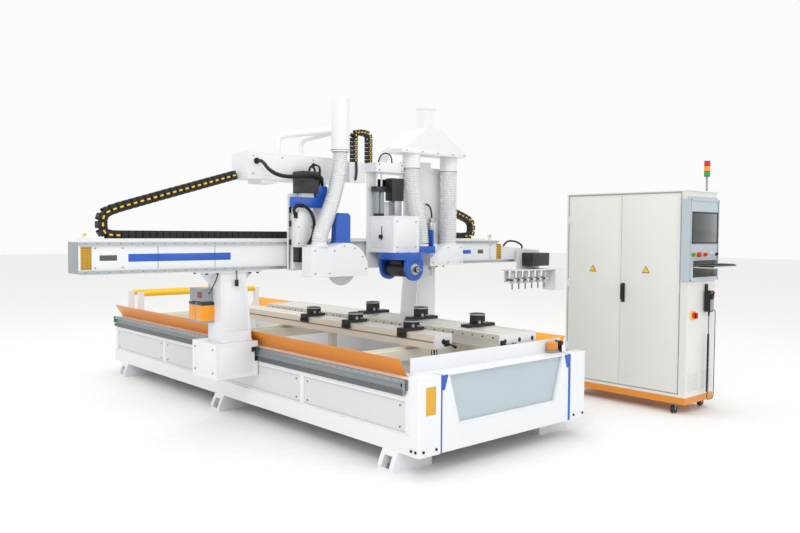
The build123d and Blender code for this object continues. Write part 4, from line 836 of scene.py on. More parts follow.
class ROUTER_OT_gantry(RouterOperator, bpy.types.Operator):
    """Hatches, screws, lids and sensors of the gantry"""

    bl_idname = "router.gantry"
    bl_label = "Gantry details"

    def build(self):
        low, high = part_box("gantry_beam")
        front = low.y
        self.beam_covers(low, high, front)
        self.columns()
        self.housings()
        self.grease_pump()

    def beam_covers(self, low, high, front):
        hatches = []
        for x in (low.x + 0.012, high.x - 0.66):
            hatches.append(block((x, front - 0.0016, 1.240), (x + 0.075, front + 0.001, 1.398), 0.001))
        group("beam_hatches", "gantry", "ochre", hatches)
        holes = []
        for hatch_x in (low.x + 0.012, high.x - 0.66):
            for row in range(9):
                for column in range(4):
                    centre = Vector((hatch_x + 0.012 + 0.017 * column, front - 0.0014, 1.252 + 0.0167 * row))
                    holes.append(turned(0.0052, centre, centre - Vector((0, 0.0008, 0)), 0, 8))
        group("hatch_holes", "gantry", "rubber", holes)
        tabs = [block((low.x + 0.14, front - 0.0010, 1.300), (low.x + 0.26, front + 0.001, 1.338), 0.0004),
                block((1.72, front - 0.0010, 1.300), (1.80, front + 0.001, 1.338), 0.0004)]
        group("beam_tabs", "gantry", "dark_grey", tabs)
        seams = []
        for x in (-1.65, -1.2, 1.32, 1.9):
            seams.append(block((x, front - 0.0008, 1.238), (x + 0.004, front + 0.001, 1.400), 0.0003, 1))
        group("beam_seams", "gantry", "dark_grey", seams)
        stripes = [block((low.x + 0.34, front - 0.0008, 1.290), (low.x + 1.14, front + 0.001, 1.345), 0.0004),
                   block((1.42, front - 0.0008, 1.300), (1.62, front + 0.001, 1.338), 0.0004)]
        group("beam_stripes", "gantry", "blue", stripes)
        places = [(x, front - 0.0005, z) for x in (low.x + 0.11, low.x + 0.30, 0.75, 1.30, 1.92) for z in (1.252, 1.386)]
        finished(screw_heads(places, (0, -1, 0), 0.005), "hatch_screws", "gantry", "bolt")
        caps = []
        for z in (1.222, 1.417):
            cap = turned(0.005, (low.x + 0.04, front - 0.0215, z), (low.x + 0.04, front - 0.0195, z), 0.0003, 12)
            caps.append(copies(cap, [(0.08 * n, 0, 0) for n in range(1, 52)]))
        group("beam_rail_caps", "gantry", "teal", caps)
        ends = []
        for x in (low.x - 0.0004, ):
            ends.append(block((x, front + 0.004, 1.212), (x + 0.003, high.y - 0.004, 1.428), 0.0003))
        group("beam_end_plate", "gantry", "grey_box", ends)
        sensors = []
        for x in (low.x + 0.051, 1.939):
            sensors.append(block((x - 0.009, front + 0.016, 1.470), (x + 0.009, front + 0.046, 1.4885), 0.003))
        group("beam_sensors", "gantry", "yellow", sensors)
        drop = [tube([(-1.02, front - 0.012, 1.205), (-1.02, front - 0.012, 1.165), (-1.018, front - 0.012, 1.13)], 0.004),
                block((-1.030, front - 0.024, 1.085), (-1.008, front + 0.002, 1.135), 0.003)]
        group("hanging_sensor", "gantry", "black", drop)

    def columns(self):
        low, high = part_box("gantry_columns")
        insets, bolts = [], []
        for side in (-1, 1):
            outline = [(side * 0.905, 0, 0.735), (side * 1.105, 0, 0.735), (side * 1.105, 0, 1.120), (side * 0.945, 0, 1.120)]
            insets.append(plate(outline, (0, -0.4535, 0), (0, 0.004, 0), 0.0015))
            for x in (0.815, 0.885, 1.165, 1.255):
                for y in (-0.445, -0.252):
                    bolts.append((side * x, y, 1.190))
        group("column_panels", "gantry", "body", insets)
        head = turned(0.011, Vector(bolts[0]), Vector(bolts[0]) - Vector((0, 0, 0.012)), 0.001, 6)
        finished(copies(head, [Vector(b) - Vector(bolts[0]) for b in bolts[1:]]), "flange_bolts", "gantry", "motor")
        lines = []
        for side in (-1, 1):
            inner, outer = sorted((side * 0.868, side * 1.146))
            lines.append(block((inner, -0.456, 0.650), (outer, -0.239, 0.662), 0.003))
        group("column_feet", "gantry", "body", lines)

    def housings(self):
        low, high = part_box("foot_housings")
        lids, screws = [], []
        for side in (-1, 1):
            face = side * 1.208
            inner, outer = sorted((face - side * 0.001, face + side * 0.0022))
            lids.append(block((inner, low.y + 0.035, 0.412), (outer, high.y - 0.035, 0.618), 0.0012))
            for y in (low.y + 0.05, high.y - 0.05):
                for z in (0.426, 0.604):
                    screws.append((side, (face + side * 0.002, y, z)))
        group("housing_lids", "gantry", "body", lids)
        for side, label in ((-1, "left"), (1, "right")):
            places = [place for which, place in screws if which == side]
            finished(screw_heads(places, (side, 0, 0), 0.007), f"housing_screws_{label}", "gantry", "bolt")
        wipers = []
        for side in (-1, 1):
            for y in (low.y - 0.004, high.y - 0.002):
                inner, outer = sorted((side * 0.878, side * 0.905))
                wipers.append(block((inner, y, 0.566), (outer, y + 0.006, 0.604), 0.0015))
        group("rail_wipers", "gantry", "rubber", wipers)
        front_lids = []
        for side in (-1, 1):
            inner, outer = sorted((side * 0.90, side * 1.175))
            front_lids.append(block((inner, low.y - 0.002, 0.412), (outer, low.y + 0.001, 0.618), 0.001))
        group("housing_front_lids", "gantry", "body", front_lids)

    def grease_pump(self):
        low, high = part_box("lubricator")
        stripe = [block((low.x - 0.0012, low.y + 0.020, 0.992), (low.x + 0.006, low.y + 0.080, 1.040), 0.0005, 1)]
        group("pump_stripe", "gantry", "red_stripe", stripe)
        cups, bands = [], []
        for y0, y1 in ((low.y - 0.0012, low.y + 0.103), (high.y - 0.103, high.y + 0.0012)):
            cups.append(block((low.x - 0.0015, y0, 0.815), (high.x + 0.0012, y1, 0.935), 0.004))
            bands.append(block((low.x - 0.0022, y0 - 0.0006, 0.936), (high.x + 0.0018, y1 + 0.0006, 0.960), 0.002))
        group("pump_reservoirs", "gantry", "amber", cups)
        group("pump_lids", "gantry", "motor", bands)
        pipes = [tube([(low.x + 0.05, low.y - 0.001, 1.03), (low.x + 0.05, low.y - 0.03, 1.03), (low.x + 0.06, low.y - 0.05, 1.08),
                       (low.x + 0.09, low.y - 0.06, 1.14), (low.x + 0.098, low.y - 0.06, 1.18)], 0.004)]
        group("pump_pipe", "gantry", "black", pipes)


class ROUTER_OT_chains(RouterOperator, bpy.types.Operator):
    """Drag chains, link by link"""

    bl_idname = "router.chains"
    bl_label = "Drag chains"

    def build(self):
        level, y = 1.474, -0.310
        self.chain("left_chain_lower", [(-0.30, y, level), (-0.9, y, level), (-1.5, y, level), (-1.86, y, level)])
        bend = [(-1.86, y, level), (-1.93, y, level), (-1.985, y, 1.49), (-1.995, y, 1.555), (-1.985, y, 1.62), (-1.93, y, 1.655)]
        upper = bend + [(-1.75, y, 1.71), (-1.45, y, 1.80), (-1.15, y, 1.889), (-0.93, y, 1.955)]
        left = self.chain("left_chain_upper", upper, ride=False)
        dashes = self.marks("left_chain_marks", walked(line_points(upper, 24), sizes().link_pitch), 0.052, 0.064, 0.012)
        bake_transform(dashes)
        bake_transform(left)
        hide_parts("left_chain")
        self.chain("right_chain_lower", [(0.56, y, level), (0.9, y, level), (1.3, y, level), (1.66, y, level)])
        bend = [(1.66, y, level), (1.725, y, level), (1.775, y, 1.49), (1.787, y, 1.555), (1.775, y, 1.61), (1.725, y, 1.648)]
        upper = bend + [(1.55, y, 1.705), (1.40, y, 1.755), (1.29, y, 1.792), (1.18, y, 1.855), (1.084, y, 1.911)]
        right = self.chain("right_chain_upper", upper, ride=False)
        dashes = self.marks("right_chain_marks", walked(line_points(upper, 24), sizes().link_pitch), 0.052, 0.064, 0.012)
        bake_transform(dashes)
        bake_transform(right)
        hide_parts("right_chain")
        self.upright_chain()

    def link(self, length, width, height):
        """One link: two side plates with a stepped middle, a lid and a floor."""
        half, side = length / 2, width / 2
        parts = []
        for sign in (-1, 1):
            low, high = sorted((sign * side, sign * (side - 0.007)))
            parts.append(block((-half, low, -height / 2), (half * 0.86, high, height / 2), 0.003, 1))
            low, high = sorted((sign * (side + 0.002), sign * (side - 0.002)))
            parts.append(block((-half * 0.55, low, -height * 0.33), (half * 0.35, high, height * 0.33), 0.0015, 1))
        parts.append(block((-half * 0.6, -side + 0.004, height / 2 - 0.005), (half * 0.5, side - 0.004, height / 2 - 0.001), 0.001, 1))
        parts.append(block((-half * 0.6, -side + 0.004, -height / 2 + 0.001), (half * 0.5, side - 0.004, -height / 2 + 0.005), 0.001, 1))
        return joined(parts)

    def marks(self, name, places, length, width, height):
        """Yellow dash on both flanks of every link."""
        dashes = [block((-length * 0.28, side * width / 2 - 0.0035, -height / 2), (length * 0.22, side * width / 2 + 0.0035, height / 2), 0.001, 1)
                  for side in (-1, 1)]
        piece = placed_along(joined(dashes), places, (0, 1, 0))
        piece.name = name
        piece.data.materials.clear()
        piece.data.materials.append(materials["yellow"])
        return piece

    def chain(self, name, route, ride=True, body="gantry"):
        pitch = sizes().link_pitch
        places = walked(line_points(route, 24), pitch)
        piece = placed_along(self.link(pitch, 0.060, 0.070), places, (0, 1, 0))
        core = tube(route, 0.022)
        piece = joined([piece, core])
        if ride:
            return finished(piece, name, body, "black")
        piece.name = name
        piece.data.materials.clear()
        piece.data.materials.append(materials["black"])
        return piece

    def upright_chain(self):
        y = -0.470
        route = [(0.128, y, 2.110), (0.128, y, 2.22), (0.128, y, 2.30), (0.130, y, 2.355), (0.170, y, 2.372), (0.250, y, 2.372),
                 (0.290, y, 2.355), (0.292, y, 2.30), (0.292, y, 2.22), (0.292, y, 2.110)]
        pitch = 0.036
        places = walked(line_points(route, 24), pitch)
        piece = placed_along(self.link(pitch, 0.056, 0.050), places, (0, 1, 0))
        piece = finished(piece, "upright_chain", "spindle_saddle", "black")
        dashes = self.marks("upright_chain_marks", places, pitch, 0.060, 0.009)
        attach(dashes, "spindle_saddle")
        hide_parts("z_chain")


class ROUTER_OT_hoses(RouterOperator, bpy.types.Operator):
    """Clear ribbed dust hoses"""

    bl_idname = "router.hoses"
    bl_label = "Dust hoses"

    def build(self):
        saw = [(-0.116, -0.600, 2.170), (-0.117, -0.602, 2.12), (-0.125, -0.610, 2.050), (-0.200, -0.650, 1.850),
               (-0.300, -0.700, 1.680), (-0.400, -0.740, 1.530), (-0.435, -0.750, 1.450), (-0.435, -0.750, 1.408)]
        self.hose("saw_hose_ribbed", saw, 0.0605, "saw_hose", "saw_saddle", "saw_lift", 2.15, 1.45)
        milling = [(0.640, -0.650, 2.065), (0.642, -0.652, 2.0), (0.644, -0.656, 1.90), (0.692, -0.697, 1.56), (0.700, -0.702, 1.41)]
        self.hose("milling_hose_ribbed", milling, 0.081, "milling_hose", "spindle_saddle", "milling_lift", 2.04, 1.45)
        spindle = [(1.145, -0.611, 2.065), (1.143, -0.614, 1.85), (1.147, -0.612, 1.62), (1.145, -0.611, 1.414)]
        self.hose("spindle_hose_ribbed", spindle, 0.081, "spindle_hose", "spindle_saddle", "spindle_lift", 2.04, 1.45)
        self.clamps()

    def hose(self, name, route, radius, node, upper, lower, start_z, end_z):
        """Milky wall with a stiff rib every turn."""
        points = line_points(route, 24)
        wall = tube(route, radius - 0.002)
        deselect()
        wall.select_set(True)
        bpy.context.view_layer.objects.active = wall
        top, low = Vector(route[0]), Vector(route[-1])
        rib = ring(radius, 0.0030, (0, 0, 0), (1, 0, 0), 48, 6)
        ribs = placed_along(rib, walked(points, sizes().rib_pitch), (0, 1, 0))
        for piece, suffix, material in ((wall, "wall", "hose"), (ribs, "ribs", "rib")):
            piece.name = f"{name}_{suffix}"
            piece.data.materials.clear()
            piece.data.materials.append(materials[material])
            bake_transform(piece)
        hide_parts(node)

    def clamps(self):
        rings = []
        for centre, radius in (((0.640, -0.650, 2.075), 0.0835), ((1.145, -0.611, 2.075), 0.0835)):
            rings.append(ring(radius - 0.003, 0.004, centre, (0, 0, 1), 40, 6))
        group("hood_hose_clamps", "spindle_saddle", "bolt", rings)
        group("saw_duct_clamp", "saw_saddle", "bolt",
              [ring(0.0795, 0.003, (-0.116, -0.600, 2.185), (0, 0, 1), 40, 6)])


class ROUTER_OT_saw_unit(RouterOperator, bpy.types.Operator):
    """Motor, bracket, lids, cables and screws of the saw unit"""

    bl_idname = "router.saw_unit"
    bl_label = "Saw unit details"

    def build(self):
        self.lift_motor()
        self.cable_box()
        self.slide()
        self.rail_strips()
        self.head()
        self.cables()

    def lift_motor(self):
        fins = block((-0.5085, -0.6315, 1.822), (-0.3535, -0.4815, 1.828), 0.001, 1)
        finished(copies(fins, [(0, 0, 0.014 * n) for n in range(1, 12)]), "saw_lift_motor_fins", "saw_saddle", "motor")
        shell = [block((-0.5062, -0.6292, 1.8168), (-0.3558, -0.4838, 1.9930), 0.0008)]
        group("saw_lift_motor_shell", "saw_saddle", "motor", shell)
        cover = [block((-0.5610, -0.5890, 1.7040), (-0.2390, -0.5195, 1.7860), 0.0008),
                 block((-0.3530, -0.5890, 1.7840), (-0.2390, -0.5195, 1.8810), 0.0008)]
        group("saw_motor_bracket_cover", "saw_saddle", "blue", cover)
        glands = []
        for x in (-0.335, -0.300, -0.265):
            glands.append(turned(0.011, (x, -0.555, 1.880), (x, -0.555, 1.897), 0.002, 18))
        group("saw_glands", "saw_saddle", "black", glands)

    def cable_box(self):
        low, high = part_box("saw_cable_box")
        lid = [block((low.x + 0.03, low.y - 0.0025, low.z + 0.058), (high.x - 0.03, low.y + 0.001, high.z - 0.018), 0.0012)]
        group("cable_box_lid", "saw_saddle", "body", lid)
        places = [(x, low.y - 0.002, z) for x in (low.x + 0.045, -0.60, -0.30, high.x - 0.045) for z in (low.z + 0.07, high.z - 0.03)]
        finished(screw_heads(places, (0, -1, 0), 0.006), "cable_box_screws", "saw_saddle", "bolt")
        grommet = [turned(0.024, (-0.840, low.y - 0.001, 2.060), (-0.840, low.y - 0.018, 2.060), 0.003, 24),
                   turned(0.016, (-0.30, low.y - 0.004, 2.060), (-0.30, low.y - 0.016, 2.060), 0.003, 24)]
        group("cable_box_grommets", "saw_saddle", "black", grommet)

    def slide(self):
        low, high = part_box("saw_slide")
        face = -0.604
        cover = [block((-0.545, face - 0.002, 1.40), (-0.399, face + 0.001, 1.69), 0.0012)]
        group("saw_slide_cover", "saw_lift", "body", cover)
        places = [(x, face - 0.0015, z) for x in (-0.535, -0.409) for z in (1.415, 1.545, 1.675)]
        finished(screw_heads(places, (0, -1, 0), 0.006), "saw_slide_screws", "saw_lift", "bolt")
        gear = [block((-0.5385, -0.6055, 1.262), (-0.4155, -0.534, 1.3835), 0.0008),
                turned(0.042, (-0.477, -0.605, 1.322), (-0.477, -0.612, 1.322), 0.002, 32)]
        group("saw_gearbox_shell", "saw_lift", "motor", gear)

    def rail_strips(self):
        """Ground guide strips and the switch row beside the saw's slide."""
        strips = [block((-0.5735, -0.5265, 1.205), (-0.5605, -0.5205, 1.700), 0.001),
                  block((-0.2330, -0.5265, 1.205), (-0.2190, -0.5205, 1.700), 0.001)]
        group("saw_guide_strips", "saw_saddle", "beam_rail", strips)
        blocks = [block((-0.5745, -0.5345, z), (-0.5560, -0.5260, z + 0.045), 0.002) for z in (1.40, 1.55, 1.66)]
        group("saw_switches", "saw_saddle", "black", blocks)

    def head(self):
        rims = [block((-0.5545, -0.8165, 1.150), (0.014, -0.8135, 1.158), 0.001, 1),
                block((-0.5545, -0.6865, 1.150), (0.014, -0.6835, 1.158), 0.001, 1),
                block((-0.5552, -0.8155, 1.155), (-0.5525, -0.6845, 1.389), 0.001, 1)]
        group("saw_guard_rims", "saw_head", "body", rims)
        places = [(-0.215 + 0.205 * math.cos(math.radians(a)), -0.8155, 1.190 + 0.205 * math.sin(math.radians(a))) for a in (5, 35, 65, 95, 125)]
        places += [(-0.52, -0.8155, 1.18), (-0.52, -0.8155, 1.36), (-0.38, -0.8155, 1.18)]
        finished(screw_heads(places, (0, -1, 0), 0.006), "saw_guard_screws", "saw_head", "bolt")

    def cables(self):
        """Corrugated cable loops between the box, the bracket and the motor."""
        first = [(-0.840, -0.474, 2.060), (-0.842, -0.520, 2.062), (-0.845, -0.580, 2.045), (-0.830, -0.640, 1.980), (-0.760, -0.665, 1.942),
                 (-0.650, -0.668, 1.934), (-0.535, -0.668, 1.950), (-0.420, -0.668, 1.962), (-0.340, -0.650, 1.945), (-0.300, -0.600, 1.915),
                 (-0.266, -0.556, 1.897)]
        fourth = [(-0.560, -0.600, 1.640), (-0.590, -0.625, 1.655), (-0.600, -0.635, 1.690), (-0.560, -0.640, 1.722), (-0.500, -0.640, 1.715),
                  (-0.440, -0.640, 1.672), (-0.405, -0.640, 1.600), (-0.412, -0.640, 1.505), (-0.440, -0.635, 1.430), (-0.470, -0.625, 1.390)]
        second = [(-0.30, -0.485, 2.060), (-0.30, -0.53, 2.058), (-0.305, -0.575, 2.03), (-0.315, -0.585, 1.98), (-0.300, -0.57, 1.93),
                  (-0.300, -0.555, 1.895)]
        third = [(-0.43, -0.60, 1.991), (-0.43, -0.605, 2.02), (-0.40, -0.60, 2.04), (-0.36, -0.58, 2.02), (-0.338, -0.56, 1.95), (-0.335, -0.555, 1.896)]
        for number, (route, radius) in enumerate(((first, 0.015), (second, 0.010), (third, 0.009))):
            points = line_points(route, 24)
            core = tube(route, radius - 0.0015)
            ribs = placed_along(ring(radius - 0.001, 0.0022, (0, 0, 0), (1, 0, 0), 18, 5), walked(points, 0.008), (0, 1, 0))
            group(f"saw_cable_{number + 1}", "saw_saddle", "black", [core, ribs])
        core = tube(fourth, 0.0115)
        ribs = placed_along(ring(0.012, 0.0022, (0, 0, 0), (1, 0, 0), 18, 5), walked(line_points(fourth, 24), 0.008), (0, 1, 0))
        box = block((-0.572, -0.612, 1.615), (-0.545, -0.590, 1.665), 0.002)
        end = block((-0.495, -0.645, 1.350), (-0.445, -0.604, 1.395), 0.003)
        group("saw_lift_loop", "saw_lift", "black", [core, ribs, box, end])


class ROUTER_OT_spindle_unit(RouterOperator, bpy.types.Operator):
    """Hood trims, motors, perforated plate, blue adaptor and screws of the milling and spindle unit"""

    bl_idname = "router.spindle_unit"
    bl_label = "Spindle unit details"

    def build(self):
        self.hood()
        self.milling()
        self.spindle()
        self.frame_parts()

    def hood(self):
        low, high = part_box("dust_hood")
        rims = [block((low.x + 0.12, low.y - 0.003, 2.204), (high.x - 0.002, low.y + 0.001, 2.2415), 0.002),
                block((0.756, -0.686, high.z - 0.03), (0.906, -0.574, high.z - 0.003), 0.002)]
        group("hood_rims", "spindle_saddle", "body", rims)
        places = [(x, low.y - 0.003, 2.223) for x in (0.50, 0.69, 0.88, 1.07, 1.22)]
        finished(screw_heads(places, (0, -1, 0), 0.006), "hood_screws", "spindle_saddle", "bolt")

    def milling(self):
        low, high = (0.262, -0.845, 1.335), (0.560, -0.523, 1.648)
        lids = [block((low[0] - 0.0022, -0.815, 1.372), (low[0] + 0.001, -0.56, 1.612), 0.0012),
                block((0.292, low[1] - 0.0022, 1.372), (0.530, low[1] + 0.001, 1.612), 0.0012)]
        group("milling_cover_lids", "milling_lift", "body", lids)
        places = [(x, low[1] - 0.002, z) for x in (0.304, 0.518) for z in (1.384, 1.600)]
        finished(screw_heads(places, (0, -1, 0), 0.006), "milling_cover_screws", "milling_lift", "bolt")
        slot_parts = [block((low[0] - 0.0035, -0.700, 1.44), (low[0] - 0.001, -0.688, 1.56), 0.001, 1),
                      turned(0.018, (low[0] - 0.002, -0.694, 1.47), (low[0] - 0.026, -0.694, 1.47), 0.004, 26)]
        group("milling_cover_knob", "milling_lift", "black", slot_parts)
        disc = [turned(0.2040, (0.452, -0.730, 1.2965), (0.452, -0.730, 1.3352), 0.0008, 72)]
        group("yoke_turntable_shell", "milling_lift", "blue", disc)
        adaptor = [block((0.599, -0.791, 1.3245), (0.809, -0.613, 1.3858), 0.0008),
                   block((0.7932, -0.771, 1.384), (0.8088, -0.639, 1.531), 0.0008)]
        group("hose_adaptor_shell", "milling_lift", "blue", adaptor)
        places = [(0.452 + 0.185 * math.cos(math.radians(a)), -0.730 + 0.185 * math.sin(math.radians(a)), 1.336) for a in range(-170, -20, 30)]
        finished(screw_heads(places, (0, 0, 1), 0.007), "turntable_screws", "milling_lift", "bolt")
        motor = [block((0.4142, -0.6508, 1.7846), (0.5488, -0.5592, 1.981), 0.0008)]
        fin = block((0.4125, -0.6525, 1.80), (0.5505, -0.5585, 1.806), 0.001, 1)
        motor.append(copies(fin, [(0, 0, 0.014 * n) for n in range(1, 12)]))
        group("milling_lift_motor_shell", "milling_lift", "motor", motor)
        base = [block((0.4542, -0.6405, 1.6485), (0.5358, -0.5592, 1.784), 0.0008)]
        for row in range(7):
            for column in range(4):
                centre = Vector((0.466 + 0.0195 * column, -0.6408, 1.665 + 0.017 * row))
                base.append(turned(0.0045, centre, centre - Vector((0, 0.001, 0)), 0, 10))
        group("milling_lift_plate", "milling_lift", "cast", base)
        head = [block((0.266, -0.609, 1.8600), (0.389, -0.541, 1.9060), 0.003)]
        group("cylinder_head", "milling_lift", "motor", head)
        bands = []
        for x in (0.300, 0.355):
            bands.append(turned(0.0255, (x, -0.575, 1.6485), (x, -0.575, 1.672), 0.002, 28))
        group("cylinder_bands", "milling_lift", "black", bands)
        screws = [(0.452 + 0.075 * math.cos(math.radians(a)), -0.9085, 1.192 + 0.075 * math.sin(math.radians(a))) for a in range(0, 360, 60)]
        finished(screw_heads(screws, (0, -1, 0), 0.006), "yoke_screws", "milling_yoke", "bolt")
        motor_rings = [ring(0.0690, 0.002, (0.452, -0.86 + 0.03 * n, 1.192), (0, 1, 0), 44, 6) for n in range(9)]
        motor_rings.append(turned(0.0692, (0.452, -0.8775, 1.192), (0.452, -0.5825, 1.192), 0.0005, 56))
        group("mill_motor_shell", "milling_yoke", "motor", motor_rings)
        nose = [turned(0.050, (0.452, -0.9125, 1.192), (0.452, -0.9075, 1.192), 0.001, 40), ring(0.046, 0.003, (0.452, -0.912, 1.192), (0, 1, 0), 40, 8)]
        group("mill_motor_nose", "milling_yoke", "cast", nose)
        box = [block((0.395, -0.800, 1.225), (0.470, -0.640, 1.2700), 0.004), tube([(0.47, -0.66, 1.248), (0.50, -0.655, 1.255), (0.53, -0.655, 1.26), (0.545, -0.655, 1.268)], 0.008)]
        group("mill_motor_box", "milling_yoke", "motor", box)
        collet = [turned(0.027, (0.452, -0.948, 1.192), (0.452, -0.925, 1.192), 0.003, 12)]
        group("mill_collet", "milling_tool", "motor", collet)

    def spindle(self):
        low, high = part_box("spindle_cover")
        front = -0.700
        outline = [(0.852, 0, 1.221), (1.246, 0, 1.221), (1.246, 0, 1.384), (1.032, 0, 1.384), (0.852, 0, 1.266)]
        lid = [plate(outline, (0, front - 0.0022, 0), (0, 0.003, 0), 0.001)]
        group("spindle_cover_lid", "spindle_lift", "body", lid)
        places = [(x, front - 0.002, z) for x, z in ((0.87, 1.235), (1.06, 1.235), (1.23, 1.235), (1.23, 1.37), (1.06, 1.37))]
        finished(screw_heads(places, (0, -1, 0), 0.006), "spindle_cover_screws", "spindle_lift", "bolt")
        shell = [turned(0.0556, (0.930, -0.615, 1.405), (0.930, -0.615, 1.600), 0.003, 48)]
        for n in range(8):
            shell.append(ring(0.0555, 0.002, (0.930, -0.615, 1.43 + 0.02 * n), (0, 0, 1), 44, 6))
        shell.append(turned(0.030, (0.930, -0.615, 1.598), (0.930, -0.615, 1.640), 0.004, 32))
        group("spindle_motor_shell", "spindle_lift", "cast", shell)
        cable = tube([(0.930, -0.615, 1.638), (0.930, -0.615, 1.68), (0.930, -0.60, 1.73), (0.930, -0.575, 1.76), (0.930, -0.545, 1.77), (0.930, -0.535, 1.77)], 0.008)
        group("spindle_motor_cable", "spindle_lift", "black", [cable])

    def frame_parts(self):
        seams = [block((0.244, -0.6515, 2.029), (0.546, -0.6485, 2.109), 0.001),
                 block((0.846, -0.404, 2.165), (1.124, -0.246, 2.1715), 0.002)]
        group("head_frame_caps", "spindle_saddle", "body", seams)
        places = [(x, -0.651, z) for x in (0.265, 0.525) for z in (2.045, 2.093)]
        finished(screw_heads(places, (0, -1, 0), 0.007), "head_frame_screws", "spindle_saddle", "bolt")
        valve = []
        for n in range(4):
            valve.append(block((0.35 + 0.028 * n, -0.5285, 1.90), (0.374 + 0.028 * n, -0.499, 1.975), 0.002))
            valve.append(turned(0.005, (0.362 + 0.028 * n, -0.529, 1.955), (0.362 + 0.028 * n, -0.540, 1.955), 0.001, 12))
        rail = block((0.335, -0.521, 1.885), (0.470, -0.499, 1.899), 0.002)
        arm = block((0.335, -0.515, 1.895), (0.350, -0.500, 1.99), 0.002)
        group("air_valves", "spindle_saddle", "black", valve + [rail, arm])
        arc = tube([(0.330, -0.56, 2.108), (0.330, -0.57, 2.16), (0.36, -0.60, 2.20), (0.41, -0.62, 2.19), (0.435, -0.62, 2.15), (0.44, -0.615, 2.109)], 0.006)
        group("frame_cable_arc", "spindle_saddle", "black", [arc])
        tail = tube([(0.128, -0.505, 2.11), (0.128, -0.512, 2.06), (0.125, -0.515, 2.02), (0.12, -0.513, 1.98), (0.118, -0.505, 1.955)], 0.010)
        group("chain_tail", "spindle_saddle", "black", [tail])


class ROUTER_OT_magazine(RouterOperator, bpy.types.Operator):
    """Fork liners, motor unit, end cover and cable of the tool magazine"""

    bl_idname = "router.magazine"
    bl_label = "Tool magazine details"

    def build(self):
        low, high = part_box("tool_magazine")
        unit = [block((2.3590, -0.6612, 1.164), (2.6310, -0.5118, 1.3012), 0.0008)]
        fin = block((2.3565, -0.6635, 1.185), (2.6335, -0.5125, 1.190), 0.001, 1)
        unit.append(copies(fin, [(0, 0, 0.016 * n) for n in range(1, 7)]))
        group("magazine_drive_shell", "magazine", "motor", unit)
        forks, cones, cutters = [], [], []
        for index in range(6):
            x = 2.090 + 0.105 * index
            forks.append(block((x - 0.0445, -0.651, 1.0185), (x - 0.026, -0.560, 1.0375), 0.002))
            forks.append(block((x + 0.026, -0.651, 1.0185), (x + 0.0445, -0.560, 1.0375), 0.002))
            cones.append(turned(0.0212, (x, -0.610, 1.049), (x, -0.610, 1.106), 0.002, 30, 0.013))
            cones.append(ring(0.0305, 0.003, (x, -0.610, 1.043), (0, 0, 1), 36, 6))
            cones.append(turned(0.0308, (x, -0.610, 0.991), (x, -0.610, 1.019), 0.003, 12))
            cutters.append(turned(0.0078, (x, -0.610, 0.929), (x, -0.610, 0.990), 0.002, 16))
        group("magazine_forks", "magazine", "dark_grey", forks)
        group("magazine_cones", "magazine", "cast", cones)
        group("magazine_cutters", "magazine", "bolt", cutters)
        cover = [block((2.7085, -0.6912, 0.8990), (2.8602, -0.5120, 1.1232), 0.0004)]
        group("magazine_end_cover", "magazine", "body", cover)
        shelf = [block((2.029, -0.6915, 1.1215), (2.8602, -0.6885, 1.1330), 0.001)]
        group("magazine_shelf_edge", "magazine", "body", shelf)
        cable = tube([(2.10, -0.475, 1.372), (2.12, -0.49, 1.42), (2.22, -0.50, 1.43), (2.34, -0.50, 1.40), (2.42, -0.47, 1.36), (2.43, -0.44, 1.333)], 0.010)
        group("magazine_cable", "gantry", "black", [cable])


